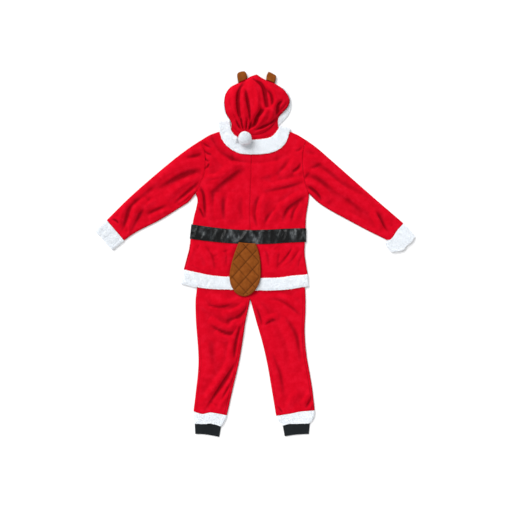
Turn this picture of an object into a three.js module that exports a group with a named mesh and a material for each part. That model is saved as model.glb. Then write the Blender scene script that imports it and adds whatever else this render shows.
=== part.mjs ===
// A one-piece hooded Santa suit laid flat on its front. Millimetres, +Z up, +Y towards the hood.
// Every piece of cloth is a wall worked out over a plan patch between four edge curves.
import * as THREE from "three";

// ---- Driving sizes ----
const FLEECE = 2; // wall of the red fleece
const PLUSH = 7; // plush with its pile
const VINYL = 1.2; // belt cloth
const SEAM = 0.3; // gap between pieces that are sewn edge to edge
const LAYER = 0.8; // gap between pieces that lie on each other
const LOFT = 5; // air between the front and back of the suit
const HIP_LOFT = 0.6; // the same where the skirt presses on it
const ROLL = 14; // how far in from its outline the cloth rolls over
const FLAT_PLUSH = 2.6; // plush that is pressed against the floor
const RAMP = 28; // length over which a layer climbs onto a thicker one
const SKIRT_FADE = 45; // the same for the trousers, where they come out from under the skirt
const CUFF_HEIGHT = 16;
const ANKLE_HEIGHT = 14;
const RIB_HEIGHT = 6;
const RIB_COUNT = 14;
const RIB_RELIEF = 0.8;
const RIB_LOWER_EVERY = 4;
const RIB_ROLL_SHARE = 0.03;
const HOOD_RISE = 2;
const CAP_RISE = 36;
const BOBBLE_RADII = { x: 31, y: 33, z: 28 };
const BOBBLE_PLACE = { x: -47, y: 549 };
const TAIL_THICKNESS = 15;
const QUILT_PITCH = 48;
const QUILT_DEPTH = 4;
const QUILT_ANGLE = THREE.MathUtils.degToRad(48);
const ANTLER_THICKNESS = 18;
const CUFF_ROLL = 10;
const ANKLE_ROLL = 9;
const RIB_ROLL = 3;
const COLLAR_ROLL = 12;
const HOOD_TRIM_ROLL = 9;
const CAP_ROLL = 52;
const ANTLER_ROLL = 10;
const CAP_SPAN = 150; // from the cap's middle to its rim
const CAP_DROOP = 0.25; // share of its rise that the cap loses at that distance
const CAP_GATHER = 0.42; // share of its rise that is left where it is gathered
const GATHER_FROM = 570;
const GATHER_TO = 690;
const BAND_MARGIN = 3; // how far a layer's step stands off the piece that makes it
const ZIP_HALF_WIDTH = 6;

// ---- Edges of the cut pieces, seen from above: x and y of each point that a curve passes ----
const EDGES = {
  sideLeft: [[-304, 109], [-291, 183], [-281, 221], [-275, 262], [-285, 290]],
  armholeLeft: [[-285, 290], [-266, 327], [-246, 375], [-238, 432], [-240, 490], [-261, 544]],
  shoulderLeft: [[-261, 544], [-213, 572], [-170, 587], [-112, 603]],
  overarmLeft: [[-261, 544], [-314, 509], [-390, 452], [-592, 279], [-710, 163]],
  underarmLeft: [[-285, 290], [-316, 252], [-364, 220], [-455, 164], [-570, 105], [-627, 66]],
  sideRight: [[242, 92], [246, 183], [252, 221], [258, 260], [260, 289]],
  armholeRight: [[260, 289], [243, 336], [234, 389], [229, 447], [233, 500], [248, 545]],
  shoulderRight: [[248, 545], [207, 570], [166, 588], [111, 610]],
  overarmRight: [[248, 545], [296, 510], [363, 452], [560, 279], [712, 148]],
  underarmRight: [[260, 289], [298, 252], [344, 220], [445, 164], [555, 106], [642, 64]],
  neckLeft: [[-112, 603], [-100, 579], [-71, 558], [-18, 550]],
  neckRight: [[111, 610], [99, 587], [73, 566], [34, 554], [-18, 550]],
  centreBack: [[-21, 82], [-25, 188], [-22, 308], [-17, 466], [-18, 550]],
  beltTop: [[-300, 143], [-221, 131], [-114, 119], [-21, 115], [82, 118], [156, 122], [242, 124]],
  beltFoot: [[-308, 74], [-221, 62], [-114, 52], [-21, 48], [82, 50], [156, 55], [242, 59]],
  skirtSideLeft: [[-304, 109], [-308, 74], [-311, 29], [-321, -14], [-336, -74]],
  skirtSideRight: [[242, 92], [240, 59], [239, 0], [246, -52], [254, -97]],
  skirtFoot: [
    [-336, -74], [-260, -92], [-201, -103], [-121, -109],
    [-23, -113], [107, -113], [180, -104], [254, -97],
  ],
  hem: [[-350, -142], [-246, -163], [-114, -170], [-23, -172], [82, -174], [156, -169], [257, -153]],
  trouserTop: [[-282, 92], [-150, 80], [-21, 70], [110, 72], [222, 80]],
  seat: [[-21, 70], [-22, -76], [-22, -217]],
  outseamLeft: [
    [-282, 92], [-278, -52], [-278, -163], [-284, -220],
    [-283, -307], [-270, -518], [-284, -672], [-294, -754],
  ],
  inseamLeft: [[-22, -217], [-45, -326], [-60, -427], [-78, -528], [-105, -643], [-134, -773]],
  inseamRight: [[-22, -217], [8, -326], [37, -427], [60, -528], [80, -643], [102, -775]],
  outseamRight: [
    [222, 80], [229, -67], [242, -182], [243, -268],
    [239, -364], [246, -470], [274, -638], [287, -749],
  ],
  legFootLeft: [[-294, -754], [-249, -766], [-215, -759], [-172, -765], [-134, -773]],
  legFootRight: [[102, -775], [169, -765], [226, -754], [287, -749]],
  ankleOutLeft: [[-294, -754], [-292, -792], [-286, -816]],
  ankleInLeft: [[-134, -773], [-143, -804], [-162, -830]],
  ankleFootLeft: [[-286, -816], [-244, -818], [-210, -816], [-162, -830]],
  ribOutLeft: [[-286, -816], [-284, -862]],
  ribInLeft: [[-162, -830], [-171, -876]],
  ribFootLeft: [[-284, -862], [-239, -864], [-171, -876]],
  ankleInRight: [[102, -775], [115, -801], [137, -827]],
  ankleOutRight: [[287, -749], [285, -787], [264, -815]],
  ankleFootRight: [[137, -827], [156, -819], [207, -817], [264, -815]],
  ribInRight: [[137, -827], [146, -873]],
  ribOutRight: [[264, -815], [259, -862]],
  ribFootRight: [[146, -873], [200, -865], [259, -862]],
  sleeveFootLeft: [[-710, 163], [-668, 114], [-627, 66]],
  sleeveFootRight: [[712, 148], [687, 120], [671, 98], [657, 74], [642, 64]],
  cuffTopLeft: [[-710, 163], [-766, 113]],
  cuffLowLeft: [[-627, 66], [-683, 21]],
  cuffEndLeft: [[-766, 113], [-724, 66], [-683, 21]],
  cuffTopRight: [[712, 148], [745, 113], [767, 84]],
  cuffLowRight: [[642, 64], [636, 40], [654, 10]],
  cuffEndRight: [[767, 84], [751, 61], [728, 42], [711, 22], [654, 10]],
  collarOuter: [
    [-171, 632], [-171, 596], [-147, 534], [-87, 488],
    [-9, 478], [90, 490], [144, 529], [175, 596],
  ],
  collarInner: [
    [-123, 636], [-116, 602], [-103, 576], [-72, 554], [-18, 547],
    [35, 551], [75, 559], [107, 590], [119, 616],
  ],
  hoodSideLeft: [[-112, 604], [-114, 632], [-136, 672], [-144, 720], [-140, 762], [-119, 795]],
  hoodTopLeft: [[-119, 795], [-84, 818], [-50, 833], [-20, 851], [9, 861]],
  hoodSideRight: [[111, 611], [113, 653], [140, 684], [160, 716], [160, 742], [135, 785]],
  hoodTopRight: [[135, 785], [95, 818], [41, 840], [9, 861]],
  hoodSeam: [[-18, 550], [-6, 668], [6, 764], [9, 861]],
  faceOuterLeft: [
    [-16, 568], [-62, 578], [-97, 612], [-117, 645], [-148, 688],
    [-146, 725], [-132, 768], [-103, 794], [10, 836],
  ],
  faceInnerLeft: [[-16, 625], [-48, 636], [-82, 682], [-90, 720], [-82, 748], [-47, 768], [10, 776]],
  faceOuterRight: [
    [-16, 568], [39, 572], [87, 598], [122, 626], [172, 680],
    [178, 735], [151, 786], [98, 814], [10, 836],
  ],
  faceInnerRight: [[-16, 625], [58, 656], [90, 680], [104, 712], [96, 740], [60, 764], [10, 776]],
  capLeft: [
    [-70, 578], [-98, 604], [-115, 640], [-136, 675], [-143, 720],
    [-140, 761], [-118, 795], [-86, 814], [-54, 826],
  ],
  capTop: [[-54, 826], [-23, 846], [9, 855], [42, 836], [97, 815]],
  capRight: [
    [-14, 570], [34, 578], [76, 606], [100, 641], [108, 669],
    [135, 695], [160, 723], [162, 749], [138, 784], [97, 815],
  ],
  capFoot: [[-70, 578], [-42, 580], [-14, 570]],
  tailTop: [[-77, 57], [-38, 53], [4, 51]],
  tailSideLeft: [[-77, 57], [-99, -2], [-114, -56], [-121, -109], [-115, -146], [-97, -180]],
  tailSideRight: [[4, 51], [18, 11], [27, -47], [27, -109], [19, -144], [2, -172]],
  tailFoot: [[-97, -180], [-78, -195], [-50, -202], [-22, -193], [2, -172]],
  antlerOuterLeft: [[-80, 826], [-84, 863], [-74, 872]],
  antlerInnerLeft: [[-36, 844], [-42, 868], [-50, 876]],
  antlerTipLeft: [[-74, 872], [-62, 875], [-50, 876]],
  antlerOuterRight: [[96, 823], [102, 852], [99, 857]],
  antlerInnerRight: [[54, 844], [57, 860], [66, 874]],
  antlerTipRight: [[66, 874], [84, 866], [99, 857]],
};

// ---- Folds: a crease runs from one end past a middle point to the other ----
// A trough has a negative height.
const FOLD_COLUMNS = ["fromX", "fromY", "midX", "midY", "toX", "toY", "width", "height"];
const BODY_FOLDS = [
  [-40, 440, -105, 375, -188, 308, 17, -3.5],
  [-70, 452, -130, 398, -205, 335, 20, 7],
  [-268, 330, -248, 270, -240, 170, 15, -3],
  [-240, 330, -222, 265, -214, 175, 18, 6],
  [40, 268, 0, 200, 8, 125, 13, -3],
  [58, 285, 24, 205, 30, 125, 17, 5],
  [225, 440, 180, 400, 150, 330, 16, 3.5],
  [-262, 352, -320, 325, -385, 245, 14, -3],
  [-250, 372, -330, 352, -410, 270, 17, 6],
  [-520, 255, -562, 210, -608, 148, 15, 5],
  [-545, 205, -580, 160, -592, 100, 13, -3.5],
  [250, 330, 295, 305, 330, 245, 14, -3],
  [245, 365, 318, 335, 372, 262, 17, 6],
  [330, 430, 430, 345, 560, 225, 18, 4],
  [575, 215, 615, 165, 645, 95, 15, 5],
];
const SKIRT_FOLDS = [
  [-262, 40, -225, -20, -205, -88, 20, 3],
  [-170, 35, -160, -30, -150, -92, 18, 2.5],
  [85, 30, 95, -30, 90, -92, 18, 2.5],
  [190, 30, 165, -30, 150, -88, 20, 3],
];
const LEG_FOLDS = [
  [-200, -340, -140, -382, -54, -330, 16, -3.5],
  [-205, -318, -150, -352, -70, -300, 20, 6],
  [-50, -235, -100, -270, -150, -320, 18, 5],
  [-64, -467, -130, -605, -226, -752, 16, -3.5],
  [-90, -455, -155, -590, -245, -715, 19, 6],
  [-70, -350, -100, -480, -110, -560, 15, 4],
  [82, -205, 160, -245, 232, -312, 18, 4],
  [55, -325, 80, -318, 95, -306, 16, 4],
  [248, -735, 262, -715, 280, -700, 15, 5],
];
const CAP_FOLDS = [
  [-71, 820, -98, 760, -72, 620, 15, -11],
  [-57, 800, -28, 700, -28, 625, 14, -9],
  [-16, 838, 45, 740, 62, 668, 15, -11],
  [54, 785, 78, 750, 84, 715, 13, -8],
  [46, 687, 0, 650, -30, 600, 14, -12],
  [138, 730, 110, 690, 72, 620, 14, -10],
  [-120, 740, -100, 660, -60, 600, 14, -9],
  [110, 650, 50, 615, -15, 590, 13, -8],
];

// ---- Small helpers ----
const clamp = THREE.MathUtils.clamp;
const mix = THREE.MathUtils.lerp;
const smooth = (low, high, value) => THREE.MathUtils.smoothstep(value, low, high);

/** A smooth plan curve through the points of one row of EDGES, measured along its length from 0 to 1. */
class Edge {
  constructor(points) {
    const stops = points.map(([x, y]) => new THREE.Vector3(x, y, 0));
    this.curve = stops.length > 2 ? new THREE.CatmullRomCurve3(stops, false, "centripetal") : null;
    this.ends = stops;
  }

  at(t) {
    const s = clamp(t, 0, 1);
    return this.curve ? this.curve.getPointAt(s) : this.ends[0].clone().lerp(this.ends[1], s);
  }
}

const edges = Object.fromEntries(Object.entries(EDGES).map(([name, points]) => [name, new Edge(points)]));

/** Two or more edges in a row; each knot says where along the whole one edge ends and the next begins. */
const chain = (parts, knots) => ({
  at(t) {
    const last = parts.length - 1;
    const k = clamp(knots.findIndex((knot, i) => t <= (knots[i + 1] ?? 1)), 0, last);
    return parts[k].at((t - knots[k]) / ((knots[k + 1] ?? 1) - knots[k]));
  },
});

/** The same edge run from its other end. */
const reversed = (edge) => ({ at: (t) => edge.at(1 - t) });

/** An edge between two others. */
const between = (first, second, share) => ({ at: (t) => first.at(t).lerp(second.at(t), share) });

/** A stretch of an edge. */
const stretch = (edge, from, to) => ({ at: (t) => edge.at(mix(from, to, t)) });

/** An edge moved a little across the plan. */
const moved = (edge, x, y) => ({ at: (t) => edge.at(t).add(new THREE.Vector3(x, y, 0)) });

/** Point of the patch between four edges: left and right run along it, start and end run across it. */
function patchPoint({ left, right, start, end }, u, v) {
  const along = left.at(v).multiplyScalar(1 - u).addScaledVector(right.at(v), u);
  const across = start.at(u).multiplyScalar(1 - v).addScaledVector(end.at(u), v);
  const corners = left.at(0).multiplyScalar((1 - u) * (1 - v));
  corners.addScaledVector(right.at(0), u * (1 - v));
  corners.addScaledVector(left.at(1), (1 - u) * v);
  corners.addScaledVector(right.at(1), u * v);
  return along.add(across).sub(corners);
}

/** Even steps from 0 to 1, with closer steps near an end where the cloth rolls over. */
function steps(count, rollStart = 0, rollEnd = 0) {
  const turns = [0, 0.29, 1];
  const list = rollStart ? turns.map((turn) => turn * rollStart) : [0];
  const tail = rollEnd ? turns.map((turn) => 1 - turn * rollEnd).reverse() : [1];
  const low = list[list.length - 1];
  const high = tail[0];
  for (let i = 1; i < count; i += 1) {
    list.push(mix(low, high, i / count));
  }
  return list.concat(tail);
}

/** Height that a table of folds adds at one place. */
function foldHeight(folds, p) {
  let height = 0;
  for (const row of folds) {
    const fold = Object.fromEntries(FOLD_COLUMNS.map((column, i) => [column, row[i]]));
    const a = new THREE.Vector2(fold.fromX, fold.fromY);
    const m = new THREE.Vector2(fold.midX, fold.midY);
    const b = new THREE.Vector2(fold.toX, fold.toY);
    const [near, share] = nearestOnBend(a, m, b, p);
    const fade = Math.sin(Math.PI * clamp(share, 0, 1)) ** 0.6;
    height += fold.height * fade * Math.exp(-((near / fold.width) ** 2));
  }
  return height;
}

/** Distance from a place to the bend from a past m to b, and how far along the bend it is nearest. */
function nearestOnBend(a, m, b, p) {
  const bendSteps = 10;
  let best = [Infinity, 0];
  let last = a;
  for (let i = 1; i <= bendSteps; i += 1) {
    const t = i / bendSteps;
    const x = (1 - t) ** 2 * a.x + 2 * t * (1 - t) * m.x + t * t * b.x;
    const y = (1 - t) ** 2 * a.y + 2 * t * (1 - t) * m.y + t * t * b.y;
    const next = new THREE.Vector2(x, y);
    const [distance, share] = nearestOnLine(last, next, p);
    if (distance < best[0]) {
      best = [distance, (i - 1 + share) / bendSteps];
    }
    last = next;
  }
  return best;
}

/** Distance from a place to the line from a to b, and the share of the line where it is nearest. */
function nearestOnLine(a, b, p) {
  const dx = b.x - a.x;
  const dy = b.y - a.y;
  const share = clamp(((p.x - a.x) * dx + (p.y - a.y) * dy) / (dx * dx + dy * dy), 0, 1);
  return [Math.hypot(p.x - a.x - dx * share, p.y - a.y - dy * share), share];
}

// ---- Heights of the layers, from the floor up ----
/** Height on the plan of an edge that runs across the suit, at one x. */
function crossing(name, x) {
  const points = EDGES[name];
  const last = points.length - 1;
  const k = clamp(points.findIndex(([px]) => px > x) - 1, 0, last - 1);
  const beyond = x >= points[last][0] ? last - 1 : k;
  const [x0, y0] = points[beyond];
  const [x1, y1] = points[beyond + 1];
  return mix(y0, y1, clamp((x - x0) / (x1 - x0), 0, 1));
}

/** 1 between two edges that run across the suit, fading to 0 over RAMP outside them. */
function band(p, lowName, highName) {
  const low = crossing(lowName, p.x) - BAND_MARGIN;
  const high = crossing(highName, p.x) + BAND_MARGIN;
  return Math.min(smooth(low - RAMP, low, p.y), 1 - smooth(high, high + RAMP, p.y));
}

const samplesOf = (edge, count) => Array.from({ length: count + 1 }, (_, i) => edge.at(i / count));
/** Distance from a place to the nearest of some sampled lines. */
const distanceTo = (lines, p) =>
  Math.min(...lines.flatMap((line) => line.slice(1).map((b, i) => nearestOnLine(line[i], b, p)[0])));

const collarLine = samplesOf(between(edges.collarOuter, edges.collarInner, 0.5), 24);
const COLLAR_HALF_WIDTH = 68; // the collar itself and the room that it needs

const beltBand = (p) => band(p, "beltFoot", "beltTop");
const trimBand = (p) => band(p, "hem", "skirtFoot");
const skirtBand = (p) => {
  const foot = crossing("hem", p.x);
  return smooth(foot - SKIRT_FADE, foot - BAND_MARGIN, p.y);
};
const collarBand = (p) => {
  const near = distanceTo([collarLine], p);
  return 1 - smooth(COLLAR_HALF_WIDTH, COLLAR_HALF_WIDTH + RAMP, near);
};

/** Lower face of the front of the bodice and skirt: the floor, or the belt or collar under it. */
const frontLow = (p) => Math.max((VINYL + LAYER) * beltBand(p), (FLAT_PLUSH + LAYER) * collarBand(p));
const trouserLow = (p) => {
  const overSkirt = (FLEECE + LAYER) * skirtBand(p);
  return overSkirt + (VINYL + LAYER) * beltBand(p) + (FLAT_PLUSH - FLEECE) * trimBand(p);
};
const trouserTop = (p) => trouserLow(p) + 2 * FLEECE + mix(LOFT, HIP_LOFT, skirtBand(p));
const skirtTop = (p) => trouserTop(p) + LAYER + FLEECE;
const trimTop = (p) => trouserTop(p) + LAYER + PLUSH;
const bodiceTop = (p) => {
  const free = frontLow(p) + 2 * FLEECE + mix(LOFT, HIP_LOFT, collarBand(p));
  const seam = crossing("beltTop", p.x) + BAND_MARGIN;
  return mix(skirtTop(p), free, smooth(seam, seam + 2 * RAMP, p.y));
};
const collarLow = (p) => bodiceTop(p) + LAYER;
const tailLow = (p) => {
  const overBelt = (VINYL + LAYER) * beltBand(p);
  return skirtTop(p) + overBelt + (PLUSH - FLEECE) * trimBand(p) + LAYER;
};

// ---- Laid cloth ----
/** Cloth laid in two layers, or in one: it rolls over at its rims, and folds stand up from its top. */
class Lay {
  constructor({ rims, radius = ROLL, low, top, middle, lift = () => 0, parting = 0 }) {
    this.rims = rims.map((edge) => samplesOf(edge, 28));
    this.radius = radius;
    this.low = low;
    this.top = top;
    this.middle = middle ?? ((p) => (low(p) + top(p)) / 2);
    this.lift = lift;
    this.parting = parting;
  }

  /** Turn of the cloth at a place: cos is 1 at a rim and 0 where it lies flat, inward leads off the rim. */
  turn(p, inside) {
    let near = Infinity;
    let inward = new THREE.Vector3(0, 0, 0);
    for (const rim of this.rims) {
      for (let i = 1; i < rim.length; i += 1) {
        const [distance, share] = nearestOnLine(rim[i - 1], rim[i], p);
        if (distance < near - 1e-6) {
          near = distance;
          const along = rim[i].clone().sub(rim[i - 1]).normalize();
          inward = new THREE.Vector3(-along.y, along.x, 0);
          const foot = rim[i - 1].clone().lerp(rim[i], share);
          if (distance > 1) {
            inward = p.clone().sub(foot).normalize();
          } else if (inward.dot(inside.clone().sub(p)) < 0) {
            inward.negate();
          }
        }
      }
    }
    const cos = 1 - clamp(near / this.radius, 0, 1);
    return { cos, sin: Math.sqrt(1 - cos * cos), inward };
  }

  upper(p, inside, wall) {
    const { cos, sin, inward } = this.turn(p, inside);
    const middle = this.middle(p) + this.parting / 2;
    const height = middle + (this.top(p) + this.lift(p) - middle) * sin;
    const outer = new THREE.Vector3(p.x, p.y, height);
    const inner = outer.clone().addScaledVector(inward, wall * cos);
    inner.z -= wall * sin;
    return [outer, inner];
  }

  lower(p, inside, wall) {
    const { cos, sin, inward } = this.turn(p, inside);
    const middle = this.middle(p) - this.parting / 2;
    const outer = new THREE.Vector3(p.x, p.y, middle - (middle - this.low(p)) * sin);
    const inner = outer.clone().addScaledVector(inward, wall * cos);
    inner.z += wall * sin;
    return [outer, inner];
  }
}

/** Places on a patch, row by row, each with a place that lies further inside. */
function places(patch, across, along) {
  return along.map((v) => across.map((u) => {
    const inside = patchPoint(patch, 0.5, mix(v, 0.5, 0.5));
    return [patchPoint(patch, u, v), inside];
  }));
}

// ---- Solids ----
/** A closed wall between two grids of points; a closed ring of columns makes a tube with open ends. */
function wallSolid(outer, inner, ring = false) {
  const rows = outer.length;
  const columns = outer[0].length;
  const positions = [...outer.flat(), ...inner.flat()].flatMap((p) => [p.x, p.y, p.z]);
  const faces = [];
  const quad = (a, b, c, d) => faces.push(a, b, c, a, c, d);
  const out = (r, c) => r * columns + (c % columns);
  const inn = (r, c) => rows * columns + out(r, c);
  const lastColumn = ring ? columns : columns - 1;
  for (let r = 0; r < rows - 1; r += 1) {
    for (let c = 0; c < lastColumn; c += 1) {
      quad(out(r, c), out(r, c + 1), out(r + 1, c + 1), out(r + 1, c));
      quad(inn(r, c), inn(r + 1, c), inn(r + 1, c + 1), inn(r, c + 1));
    }
    if (!ring) {
      quad(out(r, 0), out(r + 1, 0), inn(r + 1, 0), inn(r, 0));
      quad(out(r, lastColumn), inn(r, lastColumn), inn(r + 1, lastColumn), out(r + 1, lastColumn));
    }
  }
  for (let c = 0; c < lastColumn; c += 1) {
    quad(out(0, c), inn(0, c), inn(0, c + 1), out(0, c + 1));
    quad(out(rows - 1, c), out(rows - 1, c + 1), inn(rows - 1, c + 1), inn(rows - 1, c));
  }
  return closedGeometry(positions, faces);
}

/** The outer and the inner points of rows of such pairs. */
const facesOf = (rows) => [0, 1].map((k) => rows.map((row) => row.map((pair) => pair[k])));

/** Geometry from points and triangles, turned so that its faces point out. */
function closedGeometry(positions, faces) {
  let volume = 0;
  const corner = (i) => new THREE.Vector3().fromArray(positions, 3 * faces[i]);
  for (let i = 0; i < faces.length; i += 3) {
    volume += corner(i).dot(corner(i + 1).cross(corner(i + 2)));
  }
  const order = volume > 0 ? faces : faces.slice().reverse();
  const geometry = new THREE.BufferGeometry();
  geometry.setAttribute("position", new THREE.Float32BufferAttribute(positions, 3));
  geometry.setIndex(order);
  geometry.computeVertexNormals();
  return geometry;
}

/** Steps across a plush strip, whose long edges round off. */
const PLUSH_STEPS = [0, 0.14, 0.5, 0.86, 1];

/** One layer of a laid pair, or a dome: a wall that follows the upper or the lower face of its lay. */
function panel(patch, lay, face, wallAt, across, along) {
  const laid = ([p, inside]) => lay[face](p, inside, wallAt(p));
  return wallSolid(...facesOf(places(patch, across, along).map((row) => row.map(laid))));
}

/** Both layers as one folded piece: a flattened tube with open ends. */
function tube(patch, lay, wallAt, across, along, relief = () => 0, lowerEvery = 1) {
  const rings = places(patch, across, along).map((row) => {
    const above = row.map(([p, inside], i) => {
      const [outer, inner] = lay.upper(p, inside, wallAt(p));
      outer.z += relief(i);
      return [outer, inner];
    });
    const kept = row.slice(1, -1).filter((_, i) => i % lowerEvery === 0);
    const below = kept.reverse().map(([p, inside]) => lay.lower(p, inside, wallAt(p)));
    return above.concat(below);
  });
  return wallSolid(...facesOf(rings), true);
}

/** A padded or plush piece, solid between its upper and lower faces. */
function pad(patch, lay, across, along) {
  const grid = places(patch, across, along);
  const face = (name) => grid.map((row) => row.map(([p, inside]) => lay[name](p, inside, 0)[0]));
  return wallSolid(face("upper"), face("lower"));
}

const fleeceWall = () => FLEECE;
const vinylWall = () => VINYL;
const floor = () => 0;

/** Thickness of plush, which rounds off towards the long edges of its strip. */
function plushWall(full, longEdges) {
  const lines = longEdges.map((edge) => samplesOf(edge, 24));
  const edgeShare = 0.5;
  const rounding = 9;
  return (p) => {
    const rise = 1 - clamp(distanceTo(lines, p) / rounding, 0, 1);
    return full * (edgeShare + (1 - edgeShare) * Math.sqrt(1 - rise * rise));
  };
}

/** Share of an edge that runs across the suit at which it passes one x. */
function shareAtX(edge, x) {
  let low = 0;
  let high = 1;
  const halvings = 24;
  for (let i = 0; i < halvings; i += 1) {
    const middle = (low + high) / 2;
    if (edge.at(middle).x < x) {
      low = middle;
    } else {
      high = middle;
    }
  }
  return (low + high) / 2;
}

const straight = (from, to) => ({ at: (t) => from.clone().lerp(to, t) });
const widened = (edge, extra) => ({
  at: (t) => edge.at(t).add(new THREE.Vector3(extra * (2 * t - 1), 0, 0)),
});

// ---- Materials ----
const finish = (color, roughness, metalness = 0) => () =>
  new THREE.MeshStandardMaterial({ color, roughness, metalness });
const redFleece = finish(0xc8081f, 0.95);
const whitePlush = finish(0xeef2f6, 1);
const blackVinyl = finish(0x1c2023, 0.28);
const blackRib = finish(0x1d2529, 0.9);
const brownFleece = finish(0x7f4a18, 0.95);
const redZip = finish(0xa80c1c, 0.6);

const group = new THREE.Group();
function add(name, geometry, material) {
  const mesh = new THREE.Mesh(geometry, material());
  mesh.name = name;
  group.add(mesh);
}

// ---- Bodice and sleeves ----
const CENTRE_X = EDGES.centreBack[0][0];
const NECK_X = EDGES.centreBack.at(-1)[0];
const beltMiddle = between(edges.beltTop, edges.beltFoot, 0.5);
const bothSides = (...names) => names.flatMap((name) => [edges[`${name}Left`], edges[`${name}Right`]]);
const torsoRims = bothSides("side", "underarm", "overarm", "shoulder");
const bodyFold = (p) => foldHeight(BODY_FOLDS, p) * (1 - beltBand(p)) * (1 - collarBand(p));
const bodiceLay = new Lay({ rims: torsoRims, low: frontLow, top: bodiceTop, lift: bodyFold, parting: SEAM });
const sleeveTop = () => 2 * FLEECE + LOFT;
const sleeveFold = (p) => foldHeight(BODY_FOLDS, p);
const sleeveLay = new Lay({ rims: torsoRims, low: floor, top: sleeveTop, lift: sleeveFold });

const ARMPIT_SHARE = 0.36;
const BELT_ROWS = [0, 0.085, 0.145, 0.25];
const SLEEVE_ACROSS = steps(5, 0.06, 0.06);
const NECK_ACROSS = [0, 0.1, 0.28, 0.52, 0.76, 1];
const BODICE_ACROSS = [0, 0.0145, 0.05, 0.2, 0.35].concat(NECK_ACROSS.map((u) => mix(0.5, 1, u)));
/** Steps counted from the outer side of the left half, or of its mirror image. */
const fromSide = (side, list) => (side === "Left" ? list : list.map((u) => 1 - u).reverse());
const BODICE_ALONG = BELT_ROWS.concat(SLEEVE_ACROSS.map((u) => mix(ARMPIT_SHARE, 1, u)));

/** Plan of one half of the bodice; the centre edge stands off the centre line by a half gap. */
function bodiceHalf(side, halfGap) {
  const left = side === "Left";
  const sides = chain([edges[`side${side}`], edges[`armhole${side}`]], [0, ARMPIT_SHARE]);
  const shoulders = chain([edges[`shoulder${side}`], edges[`neck${side}`]], [0, 0.5]);
  const inward = left ? -halfGap : halfGap;
  const beltShare = shareAtX(beltMiddle, CENTRE_X + inward);
  const foot = left ? stretch(beltMiddle, 0, beltShare) : stretch(beltMiddle, beltShare, 1);
  const neck = left ? edges.neckLeft : reversed(edges.neckRight);
  const neckShare = shareAtX(neck, NECK_X + inward);
  const crown = stretch(shoulders, 0, 0.5 + 0.5 * (left ? neckShare : 1 - neckShare));
  const centre = moved(edges.centreBack, inward, 0);
  return {
    left: left ? sides : centre,
    right: left ? centre : sides,
    start: moved(foot, 0, LAYER / 2),
    end: left ? crown : reversed(crown),
  };
}

for (const side of ["Left", "Right"]) {
  const name = side.toLowerCase();
  const bodiceAcross = fromSide(side, BODICE_ACROSS);
  const back = bodiceHalf(side, SEAM / 2);
  add(`back_${name}`, panel(back, bodiceLay, "upper", fleeceWall, bodiceAcross, BODICE_ALONG), redFleece);
  const front = bodiceHalf(side, ZIP_HALF_WIDTH);
  add(`front_${name}`, panel(front, bodiceLay, "lower", fleeceWall, bodiceAcross, BODICE_ALONG), redFleece);

  const outward = side === "Left" ? -1 : 1;
  const sleeve = {
    left: edges[`underarm${side}`],
    right: edges[`overarm${side}`],
    start: moved(edges[`armhole${side}`], SEAM * outward, 0),
    end: reversed(edges[`sleeveFoot${side}`]),
  };
  add(`sleeve_${name}`, tube(sleeve, sleeveLay, fleeceWall, SLEEVE_ACROSS, steps(12)), redFleece);

  const cuff = {
    left: edges[`cuffLow${side}`],
    right: edges[`cuffTop${side}`],
    start: moved(reversed(edges[`sleeveFoot${side}`]), SEAM * outward, -SEAM),
    end: reversed(edges[`cuffEnd${side}`]),
  };
  const cuffRims = [cuff.left, cuff.right];
  const cuffLay = new Lay({ rims: cuffRims, radius: CUFF_ROLL, low: floor, top: () => CUFF_HEIGHT });
  const cuffWall = plushWall(PLUSH, [cuff.start, cuff.end]);
  add(`cuff_${name}`, tube(cuff, cuffLay, cuffWall, SLEEVE_ACROSS, PLUSH_STEPS), whitePlush);
}

const zipLeft = moved(edges.centreBack, SEAM - ZIP_HALF_WIDTH, 0);
const zipRight = moved(edges.centreBack, ZIP_HALF_WIDTH - SEAM, 0);
const zip = {
  left: zipLeft,
  right: zipRight,
  start: straight(zipLeft.at(0), zipRight.at(0)),
  end: straight(zipLeft.at(1), zipRight.at(1)),
};
add("front_zip", panel(zip, bodiceLay, "lower", fleeceWall, steps(1), BODICE_ALONG), redZip);

// ---- Belt ----
const BELT_EASE = 4;
const beltStart = widened(edges.beltFoot, BELT_EASE);
const beltEnd = widened(edges.beltTop, BELT_EASE);
const belt = {
  left: straight(beltStart.at(0), beltEnd.at(0)),
  right: straight(beltStart.at(1), beltEnd.at(1)),
  start: beltStart,
  end: beltEnd,
};
const beltLay = new Lay({
  rims: [belt.left, belt.right],
  radius: ROLL + BELT_EASE,
  low: floor,
  top: (p) => skirtTop(p) + LAYER + VINYL,
  parting: SEAM,
});
const BELT_ROLL_SHARE = 0.029;
const BELT_BACK_ACROSS = steps(14, BELT_ROLL_SHARE, BELT_ROLL_SHARE);
const BELT_FRONT_ACROSS = steps(12, BELT_ROLL_SHARE, BELT_ROLL_SHARE);
add("belt_back", panel(belt, beltLay, "upper", vinylWall, BELT_BACK_ACROSS, steps(2)), blackVinyl);
add("belt_front", panel(belt, beltLay, "lower", vinylWall, BELT_FRONT_ACROSS, steps(2)), blackVinyl);

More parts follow.
